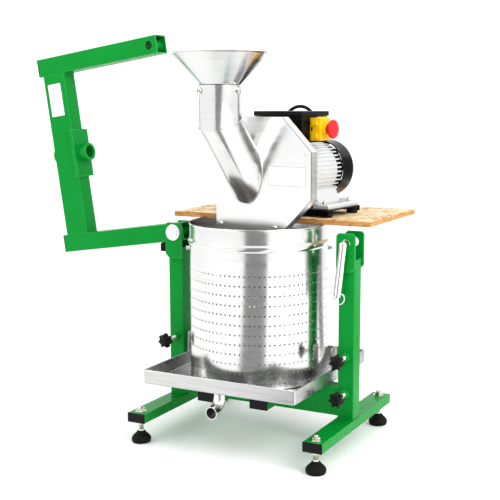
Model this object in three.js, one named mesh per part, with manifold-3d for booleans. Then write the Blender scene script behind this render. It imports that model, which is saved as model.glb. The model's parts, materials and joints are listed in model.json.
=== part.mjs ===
// Grape crusher on a fruit press frame.
// Millimetres, +Z up, +X right, +Y back. Pieces are placed from the point on the floor midway between
// the two posts; the finished machine is then moved so that its box is centred over the origin.
import * as THREE from 'three';
import { mergeVertices } from 'three/addons/utils/BufferGeometryUtils.js';
import Module from 'manifold-3d';

const wasm = await Module();
wasm.setup();

// ---------------------------------------------------------------- driving dimensions
const GAP = 0.3;                 // clearance between touching pieces
const WALL = 2;                  // wall of the base tubes
const HEAVY_WALL = 2.5;          // wall of the posts and the press arch

const POST_X = 200;              // post centre from the middle
const POST = 35;                 // square post
const POST_TOP = 392;
const STUB = 29;                 // stub tube that the post slides over
const STUB_TOP = 225;

const FOOT_W = 41;               // foot beam, width along X
const FOOT_H = 20;
const FOOT_TOP = 65.5;
const FOOT_FRONT = -179;
const FOOT_REAR = 190;
const FOOT_INSET = 19;           // levelling foot from the end of its beam
const CAP = 3;                   // visible thickness of a plastic end cap

const PAD_R = 20.4;              // levelling foot pad
const BOLT_R = 5;
const BOLT_TOP = 77;

const BEAM_Z = 70;               // cross beam between the posts
const BEAM_H = 61;
const BEARER_X = 60;             // tray bearers, square tubes in front of and behind the beam
const BEARER = 40;
const BEARER_TOP = 137;
const BEARER_END = 130;

const CLEVIS_GAP = 41;           // between the two plates of a clevis
const CLEVIS_T = 5;
const CLEVIS_LOW = 369;
const CLEVIS_HIGH = 446;
const CLEVIS_HALF = 20;
const PIN_Z = 425;               // hinge and lock pin height
const HINGE_PIN_R = 8;
const HINGE_HEAD_R = 17.8;
const LOCK_PIN_R = 8;
const LOCK_HOLE_R = 10;          // in the arch's upper arm
// The lock pin is parked: its short handle leg hooks into the right clevis and its long leg hangs.
const LOCK = {
  x: POST_X, y: -CLEVIS_GAP / 2 - CLEVIS_T - 12, handle: 27, leg: 106, lean: THREE.MathUtils.degToRad(6.5),
};
const ARCH_STOP = { reach: 38, half: 18, z0: 381, z1: 399 };   // rubber rest under the open arch

const KNOB_R = 16;
const KNOB_LOBES = 7;
const KNOB_ZS = { lower: 118.5, upper: 195 };
const KNOB_OUT = 38;             // back of the knob from the post's face
const SCREW_R = 4;

const ARM = 39;                  // square tube of the press arch
const ARCH_OPEN = THREE.MathUtils.degToRad(8.5);   // lower arm below the horizontal when open
const ARM_REACH = 233.5;         // hinge to the inner face of the arch's middle beam
const ARCH_MIDDLE = 58;          // middle beam, measured along the arms
const ARCH_SPAN = 400;           // between the two arms
const ARM_OVERHANG = 8;          // arms beyond the middle beam
const ARM_TAIL = 20;             // arms beyond their pin
const BOSS_R = 19.5;             // press screw nut
const BOSS_BORE = 14;
const BOSS_OUT = 27;             // its end from the middle beam's inner face
const NUT_PLATE = { half: 28, up: 53, t: 6 };

const TRAY_X = 170;              // half width of the drip tray
const TRAY_FRONT = -192;
const TRAY_REAR = 166;
const TRAY_Z = 137.4;
const TRAY_RIM = 166.2;
const TRAY_TAB = { y0: -20, y1: 8, top: 211, corner: 9 };   // upright tabs on the tray's sides
const SHEET = 1.5;
const SPOUT_Y = -176;
const SPOUT_R = 12.5;
const SPOUT_BEND = 27;
const SPOUT_END = -212;

const BASKET_Y = -10;
const BASKET_R = 144;
const BASKET_Z = TRAY_Z + SHEET + GAP;
const BASKET_TOP = 458;
const BEAD_Z = 420;
const LUG_TURN = THREE.MathUtils.degToRad(27);

const BOARD = { x0: -209, x1: 243.5, y0: -5, y1: 264, z0: 458.4, t: 11 };
const BOARD_TOP = BOARD.z0 + BOARD.t;

// The crusher unit stands turned on the board. Its own frame has x along the front plate,
// y along the motor shaft from the front plate back, and z up from the shaft.
const UNIT = { x: 48, y: -89, z: 561.5, turn: THREE.MathUtils.degToRad(-6.7) };
const CASE_HALF = 112;           // half width of the octagonal housing
const CASE_DEEP = 24;
const CASE_CUT = 66;             // size of the octagon's corner cuts
const DISC_R = 98;
const BLADES = 4;
const SHAFT_R = 8;
const MOTOR_FRONT = 26;
const MOTOR_END = 220;
const MOTOR_R = 53;
const FIN_R = 57.5;
const FINS = 24;
const CORE = { r: 32, y0: 78, y1: 172 };           // rotor core on the shaft
const STATOR = { inner: 33, outer: 46.3, y0: 80, y1: 170 };
const FAN = { r: 50, y0: 232, y1: 252, vanes: 7 };
const COVER_R = 61.2;
const COVER_START = 216;
const COVER_END = 265;
const COVER_SLOTS = 8;
const SHAFT_HEIGHT = 75.7;       // shaft above the base plate
const PLATE_T = 3;
const PLATE_HALF = 85;
const PLATE_Y = [112, 246];
const MOUNT_X = 73;              // rubber mounts under the base plate
const MOUNT_Y = [128, 233];
const INLET = { x: -40, y: -82, r: 41, bend: 101, top: 171.5 };
const CHUTE_LEAN = THREE.MathUtils.degToRad(40);
const FUNNEL_R = 97;
const FUNNEL_TOP = 232.5;

const BOX = { half: 55, y0: 58, y1: 157, z0: 60.3, z1: 112.5, wall: 2.5 };
const LID = { over: 2.7, z1: 122.3 };
const SWITCH = { y0: 88, y1: 126, z0: 64.5, z1: 109.5, base: 17, out: 25 };
const MUSHROOM_R = 19.5;
const START = { r: 6.9, well: 7.5, depth: 13, length: 8.4 };   // start button, with 3 mm of travel

const CORD_R = 3.5;
const COIL = { x: -95, y: 135, mid: 42, half: 7.4, z0: BOARD_TOP + GAP, h: 21.6 };
const GLAND = { x: 0, z: 90, length: 20 };
// Two-pin plug lying on the board beside the coil, its strain relief where the last turn leaves.
const PLUG = { x: -139.5, y: 189, width: 34, height: 20, length: 38, pin: 2.4 };

// ---------------------------------------------------------------- materials
const finish = (color, roughness, metalness) =>
  new THREE.MeshStandardMaterial({ color, roughness, metalness });
const GREEN = finish(0x23983f, 0.35, 0.1);
const STEEL = finish(0xc9cbcc, 0.25, 1);
const ZINC = finish(0xd4d2c4, 0.35, 1);
const CHROME = finish(0xe6e6e6, 0.08, 1);
const ALUMINIUM = finish(0xd5d8da, 0.5, 0.9);
const BLACK = finish(0x17181a, 0.55, 0);
const RUBBER = finish(0x141414, 0.85, 0);
const WOOD = finish(0xd8a468, 0.75, 0);
const YELLOW = finish(0xf6c80c, 0.35, 0);
const RED = finish(0xd6263a, 0.35, 0);
const LEAF = finish(0x1f9e57, 0.4, 0);
const COPPER = finish(0xb06a3a, 0.5, 0.8);
const IRON = finish(0x5a5c60, 0.55, 0.8);

// ---------------------------------------------------------------- solids
function toSolid(geometry) {
  const bare = geometry.clone();
  bare.deleteAttribute('normal');
  bare.deleteAttribute('uv');
  const merged = mergeVertices(bare, 1e-4);
  return new wasm.Manifold(new wasm.Mesh({
    numProp: 3,
    vertProperties: new Float32Array(merged.attributes.position.array),
    triVerts: new Uint32Array(merged.index.array),
  }));
}

function toGeometry(solid) {
  const mesh = solid.getMesh();
  const geometry = new THREE.BufferGeometry();
  geometry.setAttribute('position', new THREE.BufferAttribute(new Float32Array(mesh.vertProperties), 3));
  geometry.setIndex(new THREE.BufferAttribute(new Uint32Array(mesh.triVerts), 1));
  geometry.computeVertexNormals();
  return geometry;
}

function join(...geometries) {
  return toGeometry(geometries.map(toSolid).reduce((all, next) => all.add(next)));
}

function cut(body, ...tools) {
  return toGeometry(tools.map(toSolid).reduce((all, next) => all.subtract(next), toSolid(body)));
}

function block(x0, x1, y0, y1, z0, z1) {
  const geometry = new THREE.BoxGeometry(x1 - x0, y1 - y0, z1 - z0);
  return geometry.translate((x0 + x1) / 2, (y0 + y1) / 2, (z0 + z1) / 2);
}

// A cylinder along 'x', 'y' or 'z', from a to b on that axis.
function rod(axis, radius, a, b, at = [0, 0, 0], sides = 16) {
  const geometry = new THREE.CylinderGeometry(radius, radius, b - a, sides);
  geometry.translate(0, (a + b) / 2, 0);
  if (axis === 'x') geometry.rotateZ(-Math.PI / 2);
  if (axis === 'z') geometry.rotateX(Math.PI / 2);
  return geometry.translate(...at);
}

// A solid of revolution about Z from [radius, height] points.
function turned(points, sides = 20) {
  return new THREE.LatheGeometry(points.map(([r, z]) => new THREE.Vector2(r, z)), sides).rotateX(Math.PI / 2);
}

// The same, about Y.
function turnedY(points, sides = 20) {
  return new THREE.LatheGeometry(points.map(([r, y]) => new THREE.Vector2(r, y)), sides);
}

function ring(inner, outer, a, b) {
  return [[inner, a], [outer, a], [outer, b], [inner, b], [inner, a]];
}

function rectangle(w, h, radius) {
  const shape = new THREE.Shape();
  const x = w / 2;
  const y = h / 2;
  shape.moveTo(-x + radius, -y);
  shape.lineTo(x - radius, -y);
  shape.quadraticCurveTo(x, -y, x, -y + radius);
  shape.lineTo(x, y - radius);
  shape.quadraticCurveTo(x, y, x - radius, y);
  shape.lineTo(-x + radius, y);
  shape.quadraticCurveTo(-x, y, -x, y - radius);
  shape.lineTo(-x, -y + radius);
  shape.quadraticCurveTo(-x, -y, -x + radius, -y);
  return shape;
}

function extrude(shape, depth, curveSegments = 2) {
  return new THREE.ExtrudeGeometry(shape, { depth, bevelEnabled: false, curveSegments });
}

// A hollow rectangular tube along 'x', 'y' or 'z'. For 'x', w is along Y; for 'y', w is along X.
function tube(axis, w, h, wall, a, b, at = [0, 0, 0], radius = 3) {
  const shape = rectangle(w, h, radius);
  shape.holes.push(rectangle(w - 2 * wall, h - 2 * wall, Math.max(radius - wall, 0.8)));
  const geometry = extrude(shape, b - a).translate(0, 0, a);
  if (axis === 'x') geometry.rotateZ(Math.PI / 2).rotateY(Math.PI / 2);
  if (axis === 'y') geometry.rotateX(-Math.PI / 2);
  return geometry.translate(...at);
}

// A plate with an outline in X and Z, from y0 to y1.
function plateXZ(points, y0, y1, holes = []) {
  const shape = new THREE.Shape(points.map(([x, z]) => new THREE.Vector2(x, z)));
  for (const [x, z, r] of holes) {
    const hole = new THREE.Path();
    hole.absarc(x, z, r, 0, 2 * Math.PI, true);
    shape.holes.push(hole);
  }
  return extrude(shape, y1 - y0, 12).rotateX(Math.PI / 2).translate(0, y1, 0);
}

function mesh(name, geometry, material) {
  const piece = new THREE.Mesh(geometry, material);
  piece.name = name;
  return piece;
}

const machine = new THREE.Group();
const add = (...pieces) => machine.add(...pieces);

// ---------------------------------------------------------------- base
const SIDES = { left: -1, right: 1 };

function footBeam(side) {
  const x = side * POST_X;
  const z = FOOT_TOP - FOOT_H / 2;
  const beam = tube('y', FOOT_W, FOOT_H, WALL, FOOT_FRONT + CAP, FOOT_REAR - CAP, [x, 0, z], 2);
  const stub = tube('z', STUB, STUB, WALL, FOOT_TOP - 1, STUB_TOP, [x, 0, 0]);
  const holes = [FOOT_FRONT + FOOT_INSET, FOOT_REAR - FOOT_INSET].map((y) =>
    rod('z', BOLT_R + 0.5, FOOT_TOP - FOOT_H - 1, FOOT_TOP + 1, [x, y, 0], 12));
  return cut(join(beam, stub), ...holes);
}

// A plastic cap that plugs the end of a tube running along Y. toward is the side that shows.
function endCap(x, y, z, w, h, wall, toward) {
  const face = block(x - w / 2, x + w / 2, 0, CAP - GAP, z - h / 2, z + h / 2);
  const inner = wall + GAP;
  const across = w / 2 - inner;
  const up = h / 2 - inner;
  const plug = block(x - across, x + across, CAP - GAP - 0.1, CAP + 8, z - up, z + up);
  const cap = join(face, plug);
  if (toward > 0) cap.rotateZ(Math.PI).translate(2 * x, 0, 0);
  return cap.translate(0, y, 0);
}

function levellingFoot(x, y) {
  const profile = [
    [0, 0], [PAD_R - 1, 0], [PAD_R, 2], [PAD_R, 6], [9, 21.5],
    [7.5, 28], [BOLT_R, 28], [BOLT_R, BOLT_TOP], [0, BOLT_TOP],
  ];
  return turned(profile, 14).translate(x, y, 0);
}

for (const [side, s] of Object.entries(SIDES)) {
  add(mesh(`foot_beam_${side}`, footBeam(s), GREEN));
  const ends = { front: [FOOT_FRONT, -1], rear: [FOOT_REAR, 1] };
  for (const [end, [y, toward]] of Object.entries(ends)) {
    const z = FOOT_TOP - FOOT_H / 2;
    add(mesh(`foot_cap_${side}_${end}`, endCap(s * POST_X, y, z, FOOT_W, FOOT_H, WALL, toward), BLACK));
    const footY = y - toward * FOOT_INSET;
    add(mesh(`levelling_foot_${side}_${end}`, levellingFoot(s * POST_X, footY), RUBBER));
  }
}

function trayBeam() {
  const end = POST_X - POST / 2 - GAP;
  const beam = tube('x', POST, BEAM_H, WALL, -end, end, [0, 0, BEAM_Z + BEAM_H / 2]);
  const z = BEARER_TOP - BEARER / 2;
  const bearers = [-BEARER_X, BEARER_X].flatMap((x) => [
    tube('y', BEARER, BEARER, WALL, -BEARER_END + CAP, -POST / 2 + 1, [x, 0, z]),
    tube('y', BEARER, BEARER, WALL, POST / 2 - 1, BEARER_END, [x, 0, z]),
  ]);
  return join(beam, ...bearers);
}

add(mesh('tray_beam', trayBeam(), GREEN));
for (const [side, s] of Object.entries(SIDES)) {
  const cap = endCap(s * BEARER_X, -BEARER_END, BEARER_TOP - BEARER / 2, BEARER, BEARER, WALL, -1);
  add(mesh(`bearer_cap_${side}`, cap, BLACK));
}

// ---------------------------------------------------------------- posts with their clevises
function clevisOutline(side) {
  const outer = side * CLEVIS_HALF;
  const inner = -side * CLEVIS_HALF;
  const chamfer = 9;
  const soft = 5;
  const points = [
    [inner, CLEVIS_LOW], [outer - side * chamfer, CLEVIS_LOW], [outer, CLEVIS_LOW + chamfer],
    [outer, CLEVIS_HIGH - soft], [outer - side * soft, CLEVIS_HIGH],
    [inner + side * soft, CLEVIS_HIGH], [inner, CLEVIS_HIGH - soft],
  ];
  return side > 0 ? points : points.reverse();
}

function post(side, pinHole) {
  const tubePart = tube('z', POST, POST, HEAVY_WALL, FOOT_TOP + GAP, POST_TOP);
  const plates = [-1, 1].flatMap((face) => {
    const inside = CLEVIS_GAP / 2;
    const y0 = face < 0 ? -inside - CLEVIS_T : inside;
    const plate = plateXZ(clevisOutline(side), y0, y0 + CLEVIS_T, [[0, PIN_Z, pinHole]]);
    const near = POST / 2 - 0.5;
    const packing = face < 0
      ? block(-15, 15, -inside - 0.5, -near, CLEVIS_LOW + 1, POST_TOP)
      : block(-15, 15, near, inside + 0.5, CLEVIS_LOW + 1, POST_TOP);
    return [plate, packing];
  });
  const levels = Object.values(KNOB_ZS);
  const front = -POST / 2;
  const nuts = levels.map((z) => rod('y', 8.5, front - 8, front + 0.5, [0, 0, z], 6));
  const holes = levels.map((z) => rod('y', SCREW_R + 0.4, front - 9, front + 5, [0, 0, z], 10));
  return cut(join(tubePart, ...plates, ...nuts), ...holes).translate(side * POST_X, 0, 0);
}

add(mesh('post_left', post(-1, HINGE_PIN_R + 0.4), GREEN));
add(mesh('post_right', post(1, LOCK_PIN_R + 1.5), GREEN));

// A lobed star knob on its screw, along Y, tip pressing on the stub tube.
function clampKnob(side, z) {
  const tip = -STUB / 2 - GAP;
  const back = -POST / 2 - KNOB_OUT;
  const front = back - 19;
  const outline = [];
  const steps = KNOB_LOBES * 6;
  for (let i = 0; i < steps; i += 1) {
    const angle = (i / steps) * 2 * Math.PI;
    const r = KNOB_R * (0.86 + 0.14 * Math.cos(KNOB_LOBES * angle));
    outline.push([r * Math.sin(angle), r * Math.cos(angle)]);
  }
  const star = plateXZ(outline, front + 3, back);
  const dome = rod('y', 11, front, front + 3.5, [0, 0, 0], 12);
  const hub = rod('y', 8, back - 1, back + 6, [0, 0, 0], 12);
  const screw = rod('y', SCREW_R, back, tip, [0, 0, 0], 10);
  return join(star, dome, hub, screw).translate(side * POST_X, 0, z);
}

for (const [side, s] of Object.entries(SIDES)) {
  for (const [level, z] of Object.entries(KNOB_ZS)) {
    add(mesh(`clamp_knob_${side}_${level}`, clampKnob(s, z), BLACK));
  }
}

// ---------------------------------------------------------------- press arch
// Own frame: the hinge is at the origin, the arms run towards -x, the upper arm is ARCH_SPAN above.
const arch = new THREE.Group();
arch.position.set(-POST_X, 0, PIN_Z);
arch.rotation.y = -ARCH_OPEN;
const ARM_END = ARM_REACH + ARCH_MIDDLE + ARM_OVERHANG;

function archFrame() {
  const half = ARM / 2;
  const arms = [0, ARCH_SPAN].map((z) => tube('x', ARM, ARM, HEAVY_WALL, -ARM_END, ARM_TAIL, [0, 0, z]));
  const middleX = -ARM_REACH - ARCH_MIDDLE / 2;
  const middle = tube('z', ARCH_MIDDLE, ARM, HEAVY_WALL, half - 0.5, ARCH_SPAN - half + 0.5, [middleX, 0, 0]);
  const centre = [0, 0, ARCH_SPAN / 2];
  const { half: wide, up, t } = NUT_PLATE;
  const plate = block(-ARM_REACH - 1, -ARM_REACH + t, -wide, wide, centre[2] - up, centre[2] + up);
  const boss = rod('x', BOSS_R, -ARM_REACH - ARCH_MIDDLE - 3, -ARM_REACH + BOSS_OUT, centre, 20);
  const bore = rod('x', BOSS_BORE, -ARM_REACH - ARCH_MIDDLE - 5, -ARM_REACH + BOSS_OUT + 2, centre, 16);
  const hingeTube = rod('y', HINGE_PIN_R + 3, -half, half);
  const lockTube = rod('y', LOCK_HOLE_R + HEAVY_WALL, -half, half, [0, 0, ARCH_SPAN]);
  const hingeHole = rod('y', HINGE_PIN_R + 0.3, -ARM, ARM);
  const lockHole = rod('y', LOCK_HOLE_R, -ARM, ARM, [0, 0, ARCH_SPAN]);
  const drains = [half - 5, ARCH_SPAN - half - 5].map((z) => rod('z', 4, z, z + 10, [middleX, 0, 0], 8));
  return cut(join(...arms, middle, plate, boss, hingeTube, lockTube), bore, hingeHole, lockHole, ...drains);
}

arch.add(mesh('press_arch', archFrame(), GREEN));
for (const [level, z] of Object.entries({ lower: 0, upper: ARCH_SPAN })) {
  const cap = endCap(0, 0, 0, ARM, ARM, HEAVY_WALL, -1);
  cap.rotateZ(-Math.PI / 2).translate(-ARM_END - CAP, 0, z);
  arch.add(mesh(`arch_cap_${level}`, cap, BLACK));
}
add(arch);

function hingePin() {
  const outside = CLEVIS_GAP / 2 + CLEVIS_T + GAP;
  const head = [
    [0, -outside - 4.5], [HINGE_HEAD_R - 3, -outside - 4.5],
    [HINGE_HEAD_R, -outside - 2.5], [HINGE_HEAD_R, -outside],
  ];
  const stem = [[HINGE_PIN_R, -outside], [HINGE_PIN_R, outside + 5], [0, outside + 5]];
  return turnedY([...head, ...stem], 20).translate(-POST_X, 0, PIN_Z);
}

function hingeCollar() {
  const outside = CLEVIS_GAP / 2 + CLEVIS_T + GAP;
  return turnedY(ring(HINGE_PIN_R + GAP, 13, outside, outside + 5), 16).translate(-POST_X, 0, PIN_Z);
}

add(mesh('hinge_pin', hingePin(), CHROME));
add(mesh('hinge_collar', hingeCollar(), ZINC));

function archStop() {
  const { reach, half, z0, z1 } = ARCH_STOP;
  return block(-POST_X - reach, -POST_X - POST / 2 - GAP, -half, half, z0, z1);
}

add(mesh('arch_stop', archStop(), RUBBER));

// ---- lock pin with its R clip, in a frame that leans with the hanging leg
const lockPinGroup = new THREE.Group();
lockPinGroup.position.set(LOCK.x, LOCK.y, PIN_Z);
lockPinGroup.rotation.y = LOCK.lean;

function bentRod(points, radius, sides, steps) {
  const path = new THREE.CatmullRomCurve3(points.map((p) => new THREE.Vector3(...p)), false, 'centripetal');
  const section = new THREE.Shape();
  section.absarc(0, 0, radius, 0, 2 * Math.PI, false);
  const options = { steps, extrudePath: path, bevelEnabled: false, curveSegments: sides };
  return new THREE.ExtrudeGeometry(section, options);
}

function lockPin() {
  const handle = rod('y', LOCK_PIN_R, 0, LOCK.handle);
  const corner = new THREE.SphereGeometry(LOCK_PIN_R + 0.05, 16, 12);
  const long = rod('z', LOCK_PIN_R, -LOCK.leg, 0);
  const hole = rod('x', 2.2, -LOCK_PIN_R - 2, LOCK_PIN_R + 2, [0, 0, -LOCK.leg + 8], 8);
  return cut(join(handle, corner, long), hole);
}

function rClip() {
  const z = -LOCK.leg + 8;
  const points = [
    [-17, 0, z], [-8, 0, z], [3, 0, z], [9, 0, z + 0.5], [13.5, 0, z - 1.5], [15.8, 0, z - 7],
    [15, 0, z - 13.5], [11, 0, z - 19.5], [5, 0, z - 21.5], [-0.5, 0, z - 18.5], [-4.5, 0, z - 13],
    [-9, 0, z - 10.8], [-14, 0, z - 13.2],
  ];
  return bentRod(points, 1.5, 3, 24);
}

lockPinGroup.add(mesh('lock_pin', lockPin(), CHROME));
lockPinGroup.add(mesh('r_clip', rClip(), CHROME));
add(lockPinGroup);

// ---------------------------------------------------------------- drip tray and basket
// Rounded tabs that stand up from the tray's sides, next to the posts.
function trayTabs() {
  const { y0, y1, top, corner } = TRAY_TAB;
  const shoulder = top - corner;
  return [-TRAY_X, TRAY_X - SHEET].map((x) => {
    const low = block(x, x + SHEET, y0, y1, TRAY_RIM - 10, shoulder);
    const high = block(x, x + SHEET, y0 + corner, y1 - corner, shoulder - 1, top);
    const rounds = [y0 + corner, y1 - corner].map((y) => rod('x', corner, x, x + SHEET, [0, y, shoulder], 24));
    return join(low, high, ...rounds);
  });
}

function dripTray() {
  const deep = TRAY_REAR - TRAY_FRONT;
  const middle = [0, (TRAY_FRONT + TRAY_REAR) / 2, TRAY_Z];
  const outer = extrude(rectangle(2 * TRAY_X, deep, 5), TRAY_RIM - TRAY_Z, 3).translate(...middle);
  const hollow = extrude(rectangle(2 * (TRAY_X - SHEET), deep - 2 * SHEET, 4), TRAY_RIM, 3)
    .translate(middle[0], middle[1], TRAY_Z + SHEET);
  const path = new THREE.CurvePath();
  const low = TRAY_Z - 6;
  const bendY = SPOUT_Y - SPOUT_BEND;
  const mouth = new THREE.Vector3(0, SPOUT_Y, TRAY_Z + 0.5);
  path.add(new THREE.LineCurve3(mouth, new THREE.Vector3(0, SPOUT_Y, low)));
  const arc = [];
  const steps = 6;
  for (let i = 0; i <= steps; i += 1) {
    const angle = (i / steps) * (Math.PI / 2);
    arc.push(new THREE.Vector3(0, bendY + SPOUT_BEND * Math.cos(angle), low - SPOUT_BEND * Math.sin(angle)));
  }
  arc.push(new THREE.Vector3(0, SPOUT_END, low - SPOUT_BEND));
  for (let i = 1; i < arc.length; i += 1) path.add(new THREE.LineCurve3(arc[i - 1], arc[i]));
  const section = new THREE.Shape();
  section.absarc(0, 0, SPOUT_R, 0, 2 * Math.PI, false);
  const bore = new THREE.Path();
  bore.absarc(0, 0, SPOUT_R - SHEET, 0, 2 * Math.PI, true);
  section.holes.push(bore);
  const options = { steps: 13, extrudePath: path, bevelEnabled: false, curveSegments: 7 };
  const spout = new THREE.ExtrudeGeometry(section, options);
  const drain = rod('z', SPOUT_R - SHEET - 0.1, TRAY_Z - 2, TRAY_Z + SHEET + 1, [0, SPOUT_Y, 0], 14);
  return cut(join(cut(outer, hollow), spout, ...trayTabs()), drain);
}

function basket() {
  const r = BASKET_R;
  const inside = r - SHEET;
  const profile = [
    [0, BASKET_Z], [r, BASKET_Z], [r, BEAD_Z - 10], [r + 3.5, BEAD_Z - 6],
    [r + 3.5, BEAD_Z + 6], [r, BEAD_Z + 10], [r, BASKET_TOP - 5], [r + 1, BASKET_TOP - 4], [r + 1, BASKET_TOP],
    [inside, BASKET_TOP], [inside, BASKET_Z + SHEET], [0, BASKET_Z + SHEET],
  ];
  const lugs = [0, Math.PI].map((turn) => {
    const lug = rod('x', 5, r - 1, r + 7, [0, 0, BEAD_Z - 17], 8);
    return lug.rotateZ(LUG_TURN + turn);
  });
  return join(turned(profile, 40), ...lugs).translate(0, BASKET_Y, 0);
}

add(mesh('drip_tray', dripTray(), STEEL));
add(mesh('basket', basket(), STEEL));
add(mesh('board', block(BOARD.x0, BOARD.x1, BOARD.y0, BOARD.y1, BOARD.z0, BOARD_TOP), WOOD));

// ---------------------------------------------------------------- crusher unit
const unit = new THREE.Group();
unit.position.set(UNIT.x, UNIT.y, UNIT.z);
unit.rotation.z = UNIT.turn;
add(unit);

// Octagon with a square lower left corner. inset shrinks it by a sheet thickness.
function caseOutline(inset, bottomExtra = 0) {
  const h = CASE_HALF - inset;
  const c = CASE_CUT - inset * (2 - Math.SQRT2);
  const low = -h - bottomExtra;
  return [[-h, low], [h - c - bottomExtra, low], [h, -h + c], [h, h - c], [h - c, h], [-h + c, h], [-h, h - c]];
}

// A leaning cylinder whose axis meets the front plate at [INLET.x, 0, height].
function leaningRod(radius, a, b) {
  const height = INLET.bend + INLET.y / Math.tan(CHUTE_LEAN);
  return rod('z', radius, a, b, [0, 0, 0], 24).rotateX(CHUTE_LEAN).translate(INLET.x, 0, height);
}

function housingFront() {
  const plate = plateXZ(caseOutline(0), 0, SHEET);
  return cut(plate, leaningRod(INLET.r - SHEET, -60, 60));
}

function housingShell() {
  const outer = plateXZ(caseOutline(0), SHEET + GAP, CASE_DEEP);
  const inner = plateXZ(caseOutline(SHEET, 5), 0, CASE_DEEP - SHEET);
  const shaftHole = rod('y', 14, 0, CASE_DEEP + 1, [0, 0, 0], 24);
  return cut(outer, inner, shaftHole);
}

// A vertical inlet tube that bends back and down into the front plate.
function chute() {
  const far = 300;
  const overlap = 0.05;
  const half = (z0, z1) => toSolid(
    block(-far, far, -far, far, z0, z1).rotateX(CHUTE_LEAN / 2).translate(INLET.x, INLET.y, INLET.bend));
  const build = (radius, topExtra) => {
    const upright = rod('z', radius, INLET.bend - 60, INLET.top + topExtra, [INLET.x, INLET.y, 0], 24);
    const leaning = leaningRod(radius, -60, 200);
    const top = toSolid(upright).intersect(half(-overlap, far));
    const low = toSolid(leaning).intersect(half(-far, overlap));
    return top.add(low);
  };
  const front = block(-far, far, -far, -GAP, -far, far);
  const shell = build(INLET.r, 0).subtract(build(INLET.r - SHEET, 1));
  return toGeometry(shell.intersect(toSolid(front)));
}

function funnel() {
  const neck = INLET.r - SHEET - 1;
  const outer = FUNNEL_R;
  const profile = [
    [neck - SHEET, INLET.top - 20], [neck, INLET.top - 20], [neck, INLET.top + GAP],
    [INLET.r, INLET.top + GAP + 1],
    [outer - 4, FUNNEL_TOP - 2.5], [outer, FUNNEL_TOP - 1.5], [outer, FUNNEL_TOP],
    [outer - 5, FUNNEL_TOP - 0.5], [neck - SHEET, INLET.top], [neck - SHEET, INLET.top - 20],
  ];
  return turned(profile, 32).translate(INLET.x, INLET.y, 0);
}

unit.add(mesh('housing_front', housingFront(), STEEL));
unit.add(mesh('housing_shell', housingShell(), STEEL));
unit.add(mesh('chute', chute(), STEEL));
unit.add(mesh('funnel', funnel(), STEEL));

// ---- rotor
function cutterDisc() {
  const disc = turnedY(ring(SHAFT_R + GAP, DISC_R, 11, 15), 28);
  const hub = turnedY(ring(SHAFT_R + GAP, 20, 7.5, 18.5), 14);
  const blades = [];
  for (let i = 0; i < BLADES; i += 1) {
    blades.push(block(30, 84, 6, 11.5, -3, 3).rotateY((i / BLADES) * 2 * Math.PI + 0.3));
  }
  return join(disc, hub, ...blades);
}

function rotorShaft() {
  const profile = [
    [0, 3], [7, 3], [7, 4], [12, 4], [12, 7], [SHAFT_R, 7.2], [SHAFT_R, 19],
    [10, 19.5], [10, 46], [14, 46.5], [14, 196], [10, 196.5], [10, 222], [7, 222.5], [7, 256], [0, 256],
  ];
  return turnedY(profile, 12);
}

unit.add(mesh('cutter_disc', cutterDisc(), STEEL));
unit.add(mesh('rotor_shaft', rotorShaft(), ZINC));
unit.add(mesh('rotor_core', turnedY(ring(14 + GAP, CORE.r, CORE.y0, CORE.y1), 20), IRON));

function coolingFan() {
  const hub = turnedY(ring(7 + GAP, 18, FAN.y0, FAN.y1), 12);
  const back = turnedY(ring(12, FAN.r, FAN.y0, FAN.y0 + 2), 20);
  const vanes = [];
  for (let i = 0; i < FAN.vanes; i += 1) {
    vanes.push(block(15, FAN.r, FAN.y0 + 1.5, FAN.y1, -1.2, 1.2).rotateY((i / FAN.vanes) * 2 * Math.PI));
  }
  return join(hub, back, ...vanes);
}

unit.add(mesh('cooling_fan', coolingFan(), BLACK));

// ---- motor
function motorBody() {
  const outline = [];
  for (let i = 0; i < FINS; i += 1) {
    const at = (k) => ((i + k) / FINS) * 2 * Math.PI;
    for (const [k, r] of [[0, MOTOR_R], [0.6, MOTOR_R], [0.66, FIN_R], [0.94, FIN_R]]) {
      outline.push([r * Math.cos(at(k)), r * Math.sin(at(k))]);
    }
  }
  const barrel = plateXZ(outline, MOTOR_FRONT + 10, MOTOR_END);
  const foot = (s) => {
    const x = [s * 44, s * 80].sort((a, b) => a - b);
    const sole = block(x[0], x[1], 122, 249, -SHAFT_HEIGHT + GAP, -SHAFT_HEIGHT + 9);
    const w = [s * 30, s * 52].sort((a, b) => a - b);
    const web = block(w[0], w[1], 126, 214, -SHAFT_HEIGHT + 1, -34);
    return [sole, web];
  };
  const bridge = block(-45, 45, 150, 190, -SHAFT_HEIGHT + 1, -46);
  const bore = rod('y', 47, 0, MOTOR_END + 5, [0, 0, 0], 24);
  return cut(join(barrel, ...foot(-1), ...foot(1), bridge), bore);
}

function motorFlange() {
  const seat = 19.3;
  const y = MOTOR_FRONT;
  const profile = [
    [12, CASE_DEEP + GAP], [48, CASE_DEEP + GAP], [58, y + 2], [58, y + 9.7], [46.5, y + 9.7], [46.5, y + 14],
    [40, y + 14], [36, y + 6], [24, y + 6], [24, y + 16], [seat, y + 16],
    [seat, y + 4], [12, y + 4], [12, CASE_DEEP + GAP],
  ];
  return turnedY(profile, 20);
}

function fanCover() {
  const profile = [
    [COVER_R - SHEET, COVER_START], [COVER_R, COVER_START], [COVER_R, COVER_END - 9], [COVER_R - 7, COVER_END],
    [0, COVER_END], [0, COVER_END - SHEET], [COVER_R - 8, COVER_END - SHEET], [COVER_R - SHEET, COVER_END - 9.5],
    [COVER_R - SHEET, COVER_START],
  ];
  const slots = [];
  for (let i = 0; i < COVER_SLOTS; i += 1) {
    const slot = block(18, 46, COVER_END - 4, COVER_END + 2, -2.4, 2.4);
    slots.push(slot.rotateY((i / COVER_SLOTS) * 2 * Math.PI));
  }
  return cut(turnedY(profile, 28), ...slots);
}

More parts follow.
